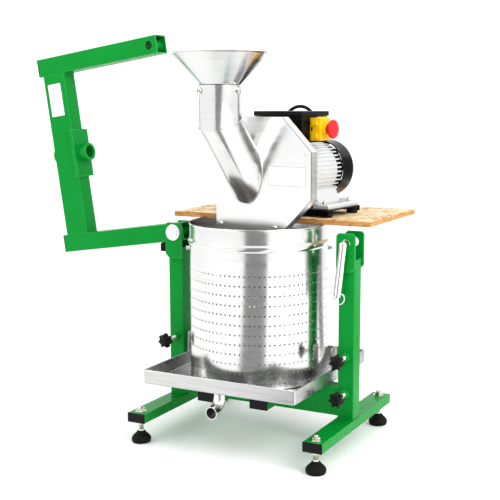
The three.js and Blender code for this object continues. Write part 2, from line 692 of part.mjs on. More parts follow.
unit.add(mesh('motor_body', motorBody(), ALUMINIUM));
unit.add(mesh('motor_flange', motorFlange(), ALUMINIUM));
const bearing = turnedY(ring(10 + GAP, 19, MOTOR_FRONT + 4 + GAP, MOTOR_FRONT + 15), 16);
unit.add(mesh('shaft_bearing', bearing, ZINC));
unit.add(mesh('stator', turnedY(ring(STATOR.inner, STATOR.outer, STATOR.y0, STATOR.y1), 24), COPPER));
unit.add(mesh('fan_cover', fanCover(), BLACK));

// ---- base plate on rubber mounts
const PLATE_LOW = -SHAFT_HEIGHT - PLATE_T;
const BOARD_LEVEL = BOARD_TOP - UNIT.z;

function rubberMount(x, y) {
  const low = BOARD_LEVEL + GAP;
  const high = PLATE_LOW - GAP;
  return turned([[0, low], [9, low], [12.5, high - 3], [12.5, high], [0, high]], 12).translate(x, y, 0);
}

const basePlate = block(-PLATE_HALF, PLATE_HALF, ...PLATE_Y, PLATE_LOW, -SHAFT_HEIGHT);
unit.add(mesh('base_plate', basePlate, BLACK));
for (const [side, s] of Object.entries(SIDES)) {
  for (const [end, y] of Object.entries({ front: MOUNT_Y[0], rear: MOUNT_Y[1] })) {
    unit.add(mesh(`rubber_mount_${side}_${end}`, rubberMount(s * MOUNT_X, y), RUBBER));
  }
}

// ---- control box, switch and cord
function controlBox() {
  const { half, y0, y1, z0, z1, wall } = BOX;
  const outer = block(-half, half, y0, y1, z0, z1);
  const saddle = block(-26, 26, y0 + 20, y1 - 20, 48, z0 + 1);
  const inner = block(-half + wall, half - wall, y0 + wall, y1 - wall, z0 + wall, z1 + 5);
  const barrel = rod('y', FIN_R + 1, 0, 300, [0, 0, 0], 36);
  const hole = rod('y', 7.5, y1 - 5, y1 + 5, [GLAND.x, 0, GLAND.z], 14);
  return cut(join(cut(outer, inner), saddle), barrel, hole);
}

function boxLid() {
  const { half, y0, y1, z1, wall } = BOX;
  const o = LID.over;
  const slab = block(-half - o, half + o, y0 - o, y1 + o, z1 + GAP, LID.z1);
  const pocket = block(-half + 1, half - 1, y0 + 1, y1 - 1, z1, LID.z1 - wall);
  return cut(slab, pocket);
}

unit.add(mesh('control_box', controlBox(), BLACK));
unit.add(mesh('box_lid', boxLid(), BLACK));
unit.add(mesh('capacitor', rod('x', 16, -35, 35, [0, 84, 80.5], 24), IRON));

const SW_Y = (SWITCH.y0 + SWITCH.y1) / 2;
const SW_Z = (SWITCH.z0 + SWITCH.z1) / 2;
const BASE_FACE = BOX.half + SWITCH.base;
const FLAP_FACE = BOX.half + SWITCH.out;

function switchBase() {
  const body = block(BOX.half + GAP, BASE_FACE, SWITCH.y0, SWITCH.y1, SWITCH.z0, SWITCH.z1);
  const well = rod('x', START.well, BASE_FACE - START.depth, BASE_FACE + 5, [0, SW_Y, SW_Z], 20);
  return cut(body, well);
}

// Hinged cover over the start button; the stop mushroom is carried on its outside.
function switchFlap() {
  const body = block(BASE_FACE + GAP, FLAP_FACE, SWITCH.y0, SWITCH.y1, SWITCH.z0, SWITCH.z1 - 0.5);
  const collar = rod('x', 11, FLAP_FACE - 1, FLAP_FACE + 7, [0, SW_Y, SW_Z]);
  const bore = rod('x', 8.7, BASE_FACE, FLAP_FACE + 10, [0, SW_Y, SW_Z]);
  return cut(join(body, collar), bore);
}

function stopButton() {
  const x0 = BASE_FACE + 5;
  const x1 = FLAP_FACE + 12;
  const stem = [[0, x0], [8, x0], [8, x1]];
  const head = [[13, x1], [MUSHROOM_R, x1 + 5], [MUSHROOM_R, x1 + 8], [MUSHROOM_R - 5, x1 + 12], [0, x1 + 13.5]];
  return turned([...stem, ...head], 20).rotateY(Math.PI / 2).translate(0, SW_Y, SW_Z);
}

function startButton() {
  const face = BASE_FACE - 0.6;
  return rod('x', START.r, face - START.length, face, [0, SW_Y, SW_Z], 20);
}

unit.add(mesh('switch_base', switchBase(), YELLOW));
unit.add(mesh('switch_flap', switchFlap(), YELLOW));
unit.add(mesh('stop_button', stopButton(), RED));
unit.add(mesh('start_button', startButton(), LEAF));

function cableGland() {
  const { x, z, length } = GLAND;
  const y = BOX.y1;
  const bore = CORD_R + GAP;
  const profile = [
    [bore, y - 4], [7.2, y - 4], [7.2, y + GAP], [11, y + GAP], [11, y + 6], [8.5, y + 7],
    [8.5, y + 12], [5.5, y + length], [bore, y + length], [bore, y - 4],
  ];
  return turnedY(profile, 14).translate(x, 0, z);
}

unit.add(mesh('cable_gland', cableGland(), BLACK));

// ---- mains cord, in the floor frame: gland, over the back of the box, down to the coil on the board
const CORD_POINTS = [
  [68.7, 87.1, 651.5], [69.8, 97, 651.7], [70.4, 107, 653.8], [69, 117, 659], [64, 125.5, 669], [53, 128.5, 682],
  [38, 130, 691], [20, 130.5, 692], [3, 128.5, 683], [-9, 124, 664], [-16, 117.5, 638], [-20, 110, 606],
  [-22, 103, 572], [-24, 98, 540], [-28, 95, 519], [-38, 93.2, 504.5], [-52, 92.8, 497.6], [-68, 93, 495.6],
  [-86, 93, 495.2],
];

function cordRun() {
  return bentRod(CORD_POINTS, CORD_R, 4, 44);
}

function cordCoil() {
  const { x, y, mid, half, z0, h } = COIL;
  return turned(ring(mid - half, mid + half, z0, z0 + h), 24).translate(x, y, 0);
}

function plug() {
  const level = BOARD_TOP + GAP + PLUG.height / 2;
  const relief = turnedY([[0, -25], [4.2, -25], [6, -1], [0, -1]], 16);
  const body = extrude(rectangle(PLUG.width, PLUG.height, 6), PLUG.length, 4)
    .rotateX(-Math.PI / 2).translate(0, -2, 0);
  const pins = [-9.5, 9.5].map((x) => rod('y', PLUG.pin, PLUG.length - 3, PLUG.length + 16, [x, 0, 0], 12));
  return join(relief, body, ...pins).translate(PLUG.x, PLUG.y, level);
}

add(mesh('power_cord', cordRun(), BLACK));
add(mesh('cord_coil', cordCoil(), BLACK));
add(mesh('plug', plug(), BLACK));

// The finished machine stands with its bounding box centred over the origin.
const middle = new THREE.Box3().setFromObject(machine, true).getCenter(new THREE.Vector3());
machine.position.set(-middle.x, -middle.y, 0);

export default machine;
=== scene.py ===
import json
import math

import bmesh
import bpy
from mathutils import Matrix, Vector


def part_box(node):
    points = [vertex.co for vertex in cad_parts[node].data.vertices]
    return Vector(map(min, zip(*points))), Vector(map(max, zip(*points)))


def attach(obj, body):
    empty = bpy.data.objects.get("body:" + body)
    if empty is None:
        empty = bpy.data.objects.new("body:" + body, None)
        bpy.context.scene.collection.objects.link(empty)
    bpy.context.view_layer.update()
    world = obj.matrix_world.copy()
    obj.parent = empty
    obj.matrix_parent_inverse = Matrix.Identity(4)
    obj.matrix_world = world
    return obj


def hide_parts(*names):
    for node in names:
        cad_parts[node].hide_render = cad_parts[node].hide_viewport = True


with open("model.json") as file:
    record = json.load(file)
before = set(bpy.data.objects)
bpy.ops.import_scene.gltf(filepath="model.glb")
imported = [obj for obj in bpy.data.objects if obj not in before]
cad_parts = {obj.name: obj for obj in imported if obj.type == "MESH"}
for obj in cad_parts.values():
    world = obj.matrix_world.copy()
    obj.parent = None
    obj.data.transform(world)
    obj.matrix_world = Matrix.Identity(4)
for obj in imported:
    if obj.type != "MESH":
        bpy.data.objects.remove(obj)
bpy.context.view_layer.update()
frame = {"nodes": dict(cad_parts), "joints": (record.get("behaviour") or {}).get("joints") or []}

# Pieces are drawn in millimetres in one of four frames and placed in metres:
# MACHINE on the floor midway between the posts, UNIT on the crusher's shaft at the housing's front,
# ARCH on the arch's hinge, LOCK on the lock pin's bend.
MM = 0.001
SIDES = {"left": -1, "right": 1}
# The shaft joint's point lies this many metres behind the housing's front.
SPIN_BEHIND_FRONT = 0.1
# Edges that turn by more than this many degrees stay sharp in shading.
SHARP_ANGLE = 35


def machine_frame():
    left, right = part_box("post_left"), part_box("post_right")
    middle = (left[0] + left[1] + right[0] + right[1]) / 4
    return Matrix.Translation((middle.x, middle.y, 0)) @ Matrix.Scale(MM, 4)


def unit_frame():
    spin = next(j for j in frame["joints"] if j["name"] == "rotor_spin")
    along = Vector(spin["axis"])
    origin = Vector(spin["pos_m"]) - along * SPIN_BEHIND_FRONT
    columns = (Vector((along.y, -along.x, 0)), along, Vector((0, 0, 1)), origin)
    axes = Matrix([[c[row] for c in columns] for row in range(3)] + [[0, 0, 0, 1]])
    return axes @ Matrix.Scale(MM, 4)


MACHINE = machine_frame()
UNIT = unit_frame()
POST_X = 200
PIN_Z = 425
ARCH_LEAN = math.radians(-8.5)
LOCK_LEAN = math.radians(6.5)
LOCK_Y = -37.5


def machine_at(x, y, z):
    """The machine's frame moved to a point."""
    return MACHINE @ Matrix.Translation((x, y, z))


ARCH = machine_at(-POST_X, 0, PIN_Z) @ Matrix.Rotation(ARCH_LEAN, 4, "Y")
LOCK = machine_at(POST_X, LOCK_Y, PIN_Z) @ Matrix.Rotation(LOCK_LEAN, 4, "Y")


# ---- camera
CAMERA = {
    "place": (943.4, -1811.7, 700.7), "yaw": 26.84, "pitch": -8.72, "lens": 71.32, "shift": (-0.0454, 0.009),
}


def add_object(name, data):
    obj = bpy.data.objects.new(name, data)
    bpy.context.scene.collection.objects.link(obj)
    return obj


def make_camera():
    data = bpy.data.cameras.new("camera")
    data.lens = CAMERA["lens"]
    data.shift_x, data.shift_y = CAMERA["shift"]
    camera = add_object("camera", data)
    camera.location = MACHINE @ Vector(CAMERA["place"])
    camera.rotation_euler = (math.radians(90 + CAMERA["pitch"]), 0, math.radians(CAMERA["yaw"]))
    bpy.context.scene.camera = camera


make_camera()


# ---- shapes: each is (points, faces)
def box(x0, x1, y0, y1, z0, z1):
    points = [(x, y, z) for x in (x0, x1) for y in (y0, y1) for z in (z0, z1)]
    return points, [(0, 1, 3, 2), (4, 6, 7, 5), (0, 4, 5, 1), (2, 3, 7, 6), (0, 2, 6, 4), (1, 5, 7, 3)]


def oriented(points, axis):
    """Points drawn about Z, turned so that their height runs along axis."""
    order = {"z": (0, 1, 2), "y": (0, 2, 1), "x": (2, 0, 1)}[axis]
    return [tuple(p[i] for i in order) for p in points]


def shifted(shape, by):
    return [tuple(a + b for a, b in zip(p, by)) for p in shape[0]], shape[1]


def turned(shape, angle, axis="y"):
    matrix = Matrix.Rotation(angle, 3, axis.upper())
    return [tuple(matrix @ Vector(p)) for p in shape[0]], shape[1]


def circle(radius, height=0, count=48):
    """Points round Z at a height."""
    angles = (math.tau * i / count for i in range(count))
    return [(radius * math.cos(a), radius * math.sin(a), height) for a in angles]


def loft(rings, ends=True, loop=False):
    """A skin over rings of equally many points, with flat ends or joined end to end."""
    count = len(rings[0])
    points = [p for ring in rings for p in ring]
    pairs = [(i, i + 1) for i in range(len(rings) - 1)]
    if loop:
        pairs.append((len(rings) - 1, 0))
    faces = [
        (a * count + i, a * count + (i + 1) % count, b * count + (i + 1) % count, b * count + i)
        for a, b in pairs for i in range(count)
    ]
    if ends and not loop:
        last = (len(rings) - 1) * count
        faces += [tuple(reversed(range(count))), tuple(range(last, last + count))]
    return points, faces


def lathe(profile, axis="z", count=96, loop=False):
    """A solid of revolution from (radius, height) points; a radius of 0 closes it on the axis."""
    points, rings = [], []
    for radius, height in profile:
        ring = circle(radius, height, count) if radius > 1e-6 else [(0, 0, height)]
        rings.append(range(len(points), len(points) + len(ring)))
        points += ring
    pairs = list(zip(rings, rings[1:])) + ([(rings[-1], rings[0])] if loop else [])
    faces = []
    for low, high in pairs:
        for i in range(count):
            j = i + 1
            corners = [low[i % len(low)], low[j % len(low)], high[j % len(high)], high[i % len(high)]]
            kept = list(dict.fromkeys(corners))
            if len(kept) > 2:
                faces.append(tuple(kept))
    return oriented(points, axis), faces


def softened(profile, radius):
    """An open outline with its inner corners rounded, over less than half of either side."""
    steps, share = 4, 0.45
    points = [Vector(p) for p in profile]
    out = [points[0]]
    for before, corner, after in zip(points, points[1:], points[2:]):
        back, on = before - corner, after - corner
        reach = min(radius, back.length * share, on.length * share)
        a, b = corner + back.normalized() * reach, corner + on.normalized() * reach
        for i in range(steps + 1):
            t = i / steps
            out.append(a * (1 - t) ** 2 + corner * 2 * t * (1 - t) + b * t ** 2)
    return [tuple(p) for p in out + [points[-1]]]


def arc(x, y, radius, start, end, steps):
    """Points round (x, y) from one angle to another, in degrees."""
    angles = (math.radians(start + (end - start) * i / steps) for i in range(steps + 1))
    return [(x + radius * math.cos(a), y + radius * math.sin(a)) for a in angles]


def rounded_ring(w, h, radius, z):
    """A rectangle with rounded corners at height z."""
    ring = []
    for sx, sy, start in ((1, 1, 0), (-1, 1, 90), (-1, -1, 180), (1, -1, 270)):
        ring += arc(sx * (w / 2 - radius), sy * (h / 2 - radius), radius, start, start + 90, 5)
    return [(x, y, z) for x, y in ring]


def hexagon(across, low, high, axis="z", hole=0):
    """A nut or bolt head with chamfered corners; across is its width over the flats."""
    corner, chamfer, count = across / math.sqrt(3), 0.08 * across, 36
    rings = []
    for height, size in ((low, 0.93), (low + chamfer, 1), (high - chamfer, 1), (high, 0.93)):
        ring = []
        for i in range(count):
            angle = math.tau * i / count
            flat = across / 2 / math.cos((angle % (math.tau / 6)) - math.tau / 12)
            radius = min(flat, corner * size)
            ring.append((radius * math.cos(angle), radius * math.sin(angle), height))
        rings.append(oriented(ring, axis))
    if not hole:
        return loft(rings)
    rings += [oriented(circle(hole, height, count), axis) for height in (high, low)]
    return loft(rings, loop=True)


def thread(radius, low, high, axis="z", pitch=1.5):
    """A screw thread drawn as a row of ring-shaped crests."""
    core = radius * 0.87
    crests = max(2, round((high - low) / pitch))
    step = (high - low) / crests
    profile = [(0, low)]
    for i in range(crests):
        profile += [(core, low + step * i), (radius, low + step * (i + 0.5))]
    return lathe(profile + [(core, high), (0, high)], axis, count=32)


def sweep(path, radius, count=20, ends=True):
    """A round rod along a path of points, or its open skin without ends."""
    line = [Vector(p) for p in path]
    tangents = []
    for i in range(len(line)):
        tangents.append((line[min(i + 1, len(line) - 1)] - line[max(i - 1, 0)]).normalized())
    side = tangents[0].orthogonal().normalized()
    rings = []
    for point, tangent in zip(line, tangents):
        side = (side - tangent * side.dot(tangent)).normalized()
        up = tangent.cross(side)
        rings.append([tuple(point + side * a + up * b) for a, b, _ in circle(radius, count=count)])
    return loft(rings, ends=ends)


def smooth_line(points, steps=6):
    """A centripetal Catmull-Rom curve through the points."""
    line = [Vector(p) for p in points]
    line = [line[0] * 2 - line[1]] + line + [line[-1] * 2 - line[-2]]
    out = []
    for p0, p1, p2, p3 in zip(line, line[1:], line[2:], line[3:]):
        t1 = (p1 - p0).length ** 0.5
        t2 = t1 + (p2 - p1).length ** 0.5
        t3 = t2 + (p3 - p2).length ** 0.5
        for i in range(steps):
            t = t1 + (t2 - t1) * i / steps
            a1 = p0 * (t1 - t) / t1 + p1 * t / t1
            a2 = p1 * (t2 - t) / (t2 - t1) + p2 * (t - t1) / (t2 - t1)
            a3 = p2 * (t3 - t) / (t3 - t2) + p3 * (t - t2) / (t3 - t2)
            b1 = a1 * (t2 - t) / t2 + a2 * t / t2
            b2 = a2 * (t3 - t) / (t3 - t1) + a3 * (t - t1) / (t3 - t1)
            out.append(b1 * (t2 - t) / (t2 - t1) + b2 * (t - t1) / (t2 - t1))
    return out + [line[-2]]


# ---- pieces
def modify(obj, kind, **settings):
    modifier = obj.modifiers.new(kind.lower(), kind)
    for name, value in settings.items():
        setattr(modifier, name, value)


def apply_modifiers(obj):
    """Replaces a piece's mesh with what its modifiers make of it, and marks its sharp edges."""
    mesh = bpy.data.meshes.new_from_object(obj.evaluated_get(bpy.context.evaluated_depsgraph_get()))
    obj.modifiers.clear()
    obj.data = mesh
    mesh.set_sharp_from_angle(angle=math.radians(SHARP_ANGLE))


def soften_edges(obj, bevel):
    """Rounds the sharp edges of a piece, by bevel millimetres."""
    if bevel:
        modify(obj, "BEVEL", width=bevel * MM, segments=2, limit_method="ANGLE",
               angle_limit=math.radians(SHARP_ANGLE), harden_normals=True)


def flatten_shading(obj):
    """Keeps large faces flat beside small rounded ones."""
    modify(obj, "WEIGHTED_NORMAL", keep_sharp=True)


def coated(shapes, material):
    return [(shape, material) for shape in shapes]


def piece(name, parts, body, where=MACHINE, replaces=(), bevel=0, smooth=SHARP_ANGLE):
    """parts are (shape, material) pairs, joined in one object that rides on body."""
    points, faces, owners, materials = [], [], [], []
    for shape, material in parts:
        if material not in materials:
            materials.append(material)
        start = len(points)
        points += [where @ Vector(p) for p in shape[0]]
        faces += [tuple(start + i for i in face) for face in shape[1]]
        owners += [materials.index(material)] * len(shape[1])
    mesh = bpy.data.meshes.new(name)
    mesh.from_pydata(points, [], faces)
    for material in materials:
        mesh.materials.append(material)
    mesh.polygons.foreach_set("material_index", owners)
    work = bmesh.new()
    work.from_mesh(mesh)
    bmesh.ops.recalc_face_normals(work, faces=work.faces)
    work.to_mesh(mesh)
    work.free()
    mesh.shade_smooth()
    mesh.set_sharp_from_angle(angle=math.radians(smooth))
    obj = add_object(name, mesh)
    soften_edges(obj, bevel)
    flatten_shading(obj)
    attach(obj, body)
    if replaces:
        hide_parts(*replaces)
    return obj


def merge_points(obj, distance):
    """Joins the sheets of a piece along the edges where they meet."""
    work = bmesh.new()
    work.from_mesh(obj.data)
    bmesh.ops.remove_doubles(work, verts=work.verts, dist=distance)
    bmesh.ops.recalc_face_normals(work, faces=work.faces)
    work.to_mesh(obj.data)
    work.free()


def label_plate(name, body, where, x, z, plate, outline):
    """A blank plate with a thin dark outline; every pair is where it starts and ends."""
    wide = 0.7
    edges = [box(*x, *outline, low, low + wide) for low in (z[0], z[1] - wide)]
    edges += [box(low, low + wide, *outline, *z) for low in (x[0], x[1] - wide)]
    piece(name, [(box(*x, *plate, *z), LABEL)] + coated(edges, BRUSHED_DARK), body, where)


def dress(names, material, bevel):
    """A CAD node keeps its shape and gets its finish and softened edges."""
    for name in names:
        obj = frame["nodes"][name]
        obj.data.materials.clear()
        obj.data.materials.append(material)
        if obj.data.has_custom_normals:
            with bpy.context.temp_override(object=obj, active_object=obj, selected_objects=[obj]):
                bpy.ops.mesh.customdata_custom_splitnormals_clear()
        obj.data.shade_smooth()
        modify(obj, "WELD", merge_threshold=1e-6)
        modify(obj, "DECIMATE", decimate_type="DISSOLVE", angle_limit=math.radians(0.5))
        soften_edges(obj, bevel)
        flatten_shading(obj)


# ---- materials
class Finish:
    """A Principled material with helpers for its procedural detail."""

    def __init__(self, name, color, roughness, metallic=0.0, **sockets):
        self.material = bpy.data.materials.new(name)
        self.material.use_nodes = True
        self.nodes = self.material.node_tree.nodes
        self.links = self.material.node_tree.links
        self.shader = self.nodes["Principled BSDF"]
        self.color = (*color, 1)
        self.shader.inputs["Base Color"].default_value = self.color
        self.shader.inputs["Roughness"].default_value = roughness
        self.shader.inputs["Metallic"].default_value = metallic
        for socket, value in sockets.items():
            self.shader.inputs[socket.replace("_", " ")].default_value = value
        self.place = self.node("TexCoord").outputs["Object"]

    def node(self, kind, **values):
        node = self.nodes.new("ShaderNode" + kind)
        for socket, value in values.items():
            node.inputs[socket.replace("_", " ")].default_value = value
        return node

    def stretched(self, scale):
        mapping = self.node("Mapping", Scale=scale)
        self.links.new(self.place, mapping.inputs["Vector"])
        return mapping.outputs["Vector"]

    def noise(self, scale, detail=4, stretch=(1, 1, 1)):
        node = self.node("TexNoise", Scale=scale, Detail=detail)
        self.links.new(self.stretched(stretch), node.inputs["Vector"])
        return node.outputs["Fac"]

    def flakes(self, scale, stretch):
        node = self.node("TexVoronoi", Scale=scale)
        self.links.new(self.stretched(stretch), node.inputs["Vector"])
        return node.outputs["Color"]

    def ranged(self, value, low, high, start=0.3, end=0.7):
        node = self.node("MapRange", From_Min=start, From_Max=end, To_Min=low, To_Max=high)
        self.links.new(value, node.inputs["Value"])
        return node.outputs["Result"]

    def edges(self, radius):
        """About 1 on edges sharper than the radius, and 0 on flat faces."""
        bevel = self.node("Bevel", Radius=radius)
        dot = self.node("VectorMath")
        dot.operation = "DOT_PRODUCT"
        self.links.new(bevel.outputs["Normal"], dot.inputs[0])
        self.links.new(self.node("NewGeometry").outputs["Normal"], dot.inputs[1])
        return self.ranged(dot.outputs["Value"], 1, 0, 0.8, 0.99)

    def steep(self):
        """0 on faces that look up or down and 1 on upright ones."""
        parts = self.node("SeparateXYZ")
        self.links.new(self.node("NewGeometry").outputs["Normal"], parts.inputs[0])
        absolute = self.node("Math")
        absolute.operation = "ABSOLUTE"
        self.links.new(parts.outputs["Z"], absolute.inputs[0])
        return self.ranged(absolute.outputs["Value"], 1, 0, 0.4, 0.6)

    def tint(self, value, color, amount=1.0):
        """Mixes color over what the base colour is so far, by value times amount."""
        mix = self.node("Mix")
        mix.data_type = "RGBA"
        base = self.shader.inputs["Base Color"]
        if base.is_linked:
            self.links.new(base.links[0].from_socket, mix.inputs["A"])
        else:
            mix.inputs["A"].default_value = self.color
        mix.inputs["B"].default_value = (*color, 1)
        self.links.new(self.ranged(value, 0, amount, 0, 1), mix.inputs["Factor"])
        self.links.new(mix.outputs["Result"], base)

    def rough(self, value, low, high):
        self.links.new(self.ranged(value, low, high), self.shader.inputs["Roughness"])

    def bump(self, value, height, strength=0.5):
        node = self.node("Bump", Strength=strength, Distance=height)
        self.links.new(value, node.inputs["Height"])
        normal = self.shader.inputs["Normal"]
        if normal.is_linked:
            self.links.new(normal.links[0].from_socket, node.inputs["Normal"])
        self.links.new(node.outputs["Normal"], normal)


def green_paint():
    f = Finish("green_paint", (0.0012, 0.27, 0.038), 0.28, Specular_IOR_Level=0.16)
    f.tint(f.ranged(f.noise(9, 3), 0, 1), (0.001, 0.22, 0.028), 0.5)
    # Lighter green on the sharp edges: a painted highlight along them.
    f.tint(f.edges(0.0016), (0.14, 0.66, 0.24), 0.85)
    f.rough(f.noise(60), 0.22, 0.36)
    f.bump(f.noise(650, 2), 0.00005, 0.25)
    return f.material


def grey(tone):
    return tone, tone, tone


def stainless(name, tone, roughness, stretch, brush=0.12):
    """Steel sheet with fine lines along the direction that stretch leaves long."""
    f = Finish(name, (tone, tone, tone * 0.995), roughness, 1.0)
    f.tint(f.ranged(f.noise(7, 3), 0, 1), grey(tone * 0.88), 0.5)
    f.tint(f.ranged(f.noise(260, 4, stretch), 0, 1, 0.45, 0.7), grey(tone * 0.7), brush)
    f.rough(f.noise(90, 5, stretch), roughness * 0.75, roughness * 1.35)
    f.bump(f.noise(300, 3, stretch), 0.00006, brush)
    return f.material


def plated(name, color, roughness):
    f = Finish(name, color, roughness, 1.0)
    f.tint(f.ranged(f.noise(160, 3), 0, 1), tuple(c * 0.8 for c in color), 0.6)
    f.rough(f.noise(300), roughness * 0.7, roughness * 1.5)
    f.bump(f.noise(900, 2), 0.00003, 0.3)
    return f.material


def cast_aluminium():
    f = Finish("cast_aluminium", (0.68, 0.69, 0.69), 0.4, 0.45)
    f.tint(f.ranged(f.noise(25, 4), 0, 1), (0.64, 0.65, 0.66), 0.5)
    f.rough(f.noise(220), 0.36, 0.54)
    f.bump(f.noise(1100, 3), 0.00008, 0.4)
    return f.material


def plastic(name, color, roughness, level=0.4, grain=900, depth=0.00005, edge_highlight=1.5):
    f = Finish(name, color, roughness, Specular_IOR_Level=level)
    f.tint(f.ranged(f.noise(40, 3), 0, 1), tuple(c * 0.82 for c in color), 0.6)
    # Lighter edges: a painted highlight along the sharp edges.
    f.tint(f.edges(0.0006), tuple(min(1, c * edge_highlight + 0.006) for c in color), 0.5)
    f.rough(f.noise(200), roughness * 0.85, roughness * 1.2)
    f.bump(f.noise(grain, 2), depth, 0.4)
    return f.material


def board_wood():
    """Strand board: pale chips lying flat on its faces, layered darker ones in its sawn edges."""
    f = Finish("board_wood", (0.78, 0.57, 0.33), 0.6, Specular_IOR_Level=0.3)
    chips = f.flakes(95, (0.4, 1, 1))
    f.tint(f.ranged(chips, 0, 1, 0.1, 0.9), (0.94, 0.79, 0.55), 0.85)
    f.tint(f.ranged(f.noise(110, 6, (0.22, 1, 1)), 0, 1, 0.52, 0.7), (0.55, 0.3, 0.12), 0.55)
    f.tint(f.steep(), (0.5, 0.23, 0.06), 0.9)
    layers = (0.3, 0.3, 2.5)
    f.tint(f.ranged(f.noise(150, 4, layers), 0, 1, 0.5, 0.62), (0.62, 0.37, 0.14), 0.6)
    f.tint(f.ranged(f.noise(210, 5, layers), 0, 1, 0.53, 0.62), (0.2, 0.05, 0.012), 0.6)
    f.bump(chips, 0.00025, 0.35)
    f.bump(f.noise(700, 4), 0.0002, 0.4)
    return f.material


def label_face():
    f = Finish("label_face", grey(0.93), 0.35)
    f.tint(f.ranged(f.noise(60, 2), 0, 1), grey(0.86), 0.4)
    f.bump(f.noise(500, 2), 0.00003, 0.2)
    return f.material


def copper_winding():
    f = Finish("winding", (0.5, 0.19, 0.07), 0.35, 0.8)
    f.bump(f.noise(500, 2, (1, 0.1, 1)), 0.0003, 0.6)
    return f.material


def laminated_iron():
    f = Finish("core_iron", (0.13, 0.13, 0.14), 0.5, 0.9)
    f.bump(f.noise(600, 2, (0.05, 1, 0.05)), 0.0003, 0.5)
    return f.material


GREEN = green_paint()
POLISHED = stainless("polished_steel", 0.82, 0.2, (0.05, 0.05, 1))
SPUN = stainless("spun_steel", 0.74, 0.2, (0.05, 0.05, 1), 0.25)
DRUM = stainless("drum_steel", 0.74, 0.17, (0.04, 0.04, 1), 0.25)
BRUSHED = stainless("brushed_steel", 0.6, 0.3, (0.05, 1, 1), 0.4)
BRUSHED_DARK = stainless("dark_steel", 0.3, 0.4, (0.05, 1, 1))
# A brighter copy of the drum steel for the basket's inside: painted light inside the drum.
LIT_INSIDE_STEEL = stainless("lit_inside_steel", 0.93, 0.25, (0.05, 0.05, 1))
# A darker copy of the steel for the spout's inner skin: painted shade inside the pipe.
SHADED_BORE = stainless("shaded_bore_steel", 0.28, 0.42, (1, 1, 1))
ZINC = plated("zinc", (0.72, 0.72, 0.63), 0.22)
CHROME = plated("chrome", grey(0.85), 0.09)
ALUMINIUM = cast_aluminium()
BLACK = plastic("black_plastic", (0.006, 0.006, 0.007), 0.34, 0.25)
BLACK_STEEL = plastic("black_steel", (0.004, 0.004, 0.005), 0.16, 0.22, grain=500, depth=0.00003)
RUBBER = plastic("rubber", (0.007, 0.007, 0.007), 0.6, 0.2, grain=600, depth=0.00012)
YELLOW = plastic("yellow_plastic", (0.9, 0.56, 0.008), 0.3, edge_highlight=1.05)
RED = plastic("red_plastic", (0.7, 0.016, 0.022), 0.3, edge_highlight=1.1)
LEAF = plastic("green_plastic", (0.02, 0.35, 0.09), 0.35)
WOOD = board_wood()
LABEL = label_face()
WINDING = copper_winding()
IRON = laminated_iron()


# ---- mains cord
CORD_R = 3.5
CORD_RUN = [
    (68.7, 87.1, 651.5), (69.8, 97, 651.7), (70.4, 107, 653.8), (69, 117, 659), (64, 125.5, 669),
    (53, 128.5, 682), (38, 130, 691), (20, 130.5, 692), (3, 128.5, 683), (-9, 124, 664), (-16, 117.5, 638),
    (-20, 110, 606), (-22, 103, 572), (-24, 98, 540), (-28, 95, 519), (-38, 93.2, 504.5), (-52, 92.8, 497.6),
    (-68, 93, 495.6), (-86, 93, 495.2),
]
COIL = {"x": -95, "y": 135, "mid": 42, "column": 3.6, "row": 7.2, "low": 473.3}
PLUG = Vector((-139.5, 189, 479.7))
# Where each turn lies, as (column, row): the top outer turn first, round to the middle outer one.
COIL_SLOTS = [(1, 2), (-1, 2), (-1, 1), (-1, 0), (1, 0), (1, 1)]


def eased(t):
    t = min(1, max(0, t))
    return t * t * (3 - 2 * t)


def coil_points():
    """Clockwise turns. Each crosses to the next place, later turns sooner, so that no crossings meet."""
    points = []
    step, quarter, wait, crossing, spacing = 7.5, 90, 10, 45, 50
    settle, join = 45, 22
    turns = len(COIL_SLOTS) - 1
    for i in range(int((turns * 360 + quarter) / step) + 1):
        progress = i * step
        turn = min(int(progress // 360), turns)
        within = progress - 360 * turn
        here, after = COIL_SLOTS[turn], COIL_SLOTS[min(turn + 1, turns)]
        move = eased((within - quarter - wait - (turns - 1 - turn) * spacing) / crossing)
        column = here[0] * (1 - move) + after[0] * move
        row = here[1] * (1 - move) + after[1] * move
        radius = COIL["mid"] + COIL["column"] * column
        z = COIL["low"] + COIL["row"] * row
        if progress < settle:
            radius = COIL["mid"] + COIL["column"] * eased(progress / join)
            z += (CORD_RUN[-1][2] - z) * (1 - eased(progress / settle))
        angle = math.radians(-90 - progress)
        points.append((COIL["x"] + radius * math.cos(angle), COIL["y"] + radius * math.sin(angle), z))
    return points


def make_cord():
    tail = [(PLUG.x - 0.6, 148, 480.2), (PLUG.x, 160, PLUG.z), (PLUG.x, 165, PLUG.z)]
    path = smooth_line(CORD_RUN, 5) + [Vector(p) for p in coil_points()[1:] + tail]
    cord = piece("mains_cord", [(sweep(path, CORD_R, 14), RUBBER)], "root",
                 replaces=("power_cord", "cord_coil"), smooth=60)
    cord_path = [tuple(MACHINE @ p) for p in path]
    return cord, cord_path


def make_plug():
    """A two-pin plug with a ribbed strain relief and a waisted, rounded body."""
    relief = [(0, -25), (4.2, -25)]
    for i in range(6):
        grow, start = 0.25 * i, -24 + 4 * i
        relief += [(4.4 + grow, start), (4.4 + grow, start + 2), (3.8 + grow, start + 2.4)]
    relief += [(6, -1), (0, -1)]
    sections = (
        (-2, 20, 13, 6), (2, 27, 16, 7), (8, 31, 19, 8), (20, 30, 18.4, 8),
        (30, 33.6, 19.6, 7), (35, 33.6, 19.6, 6), (36, 32, 18, 5),
    )
    body = loft([oriented(rounded_ring(w, h, r, y), "y") for y, w, h, r in sections])
    pin = lathe([(0, 34), (2.4, 34), (2.4, 51), (1.5, 54), (0, 54)], "y", 24)
    parts = [(lathe(relief, "y", 32), BLACK), (body, BLACK)]
    parts += [(shifted(pin, (x, 0, 0)), CHROME) for x in (-9.5, 9.5)]
    return piece("mains_plug", parts, "root", machine_at(*PLUG), ("plug",))


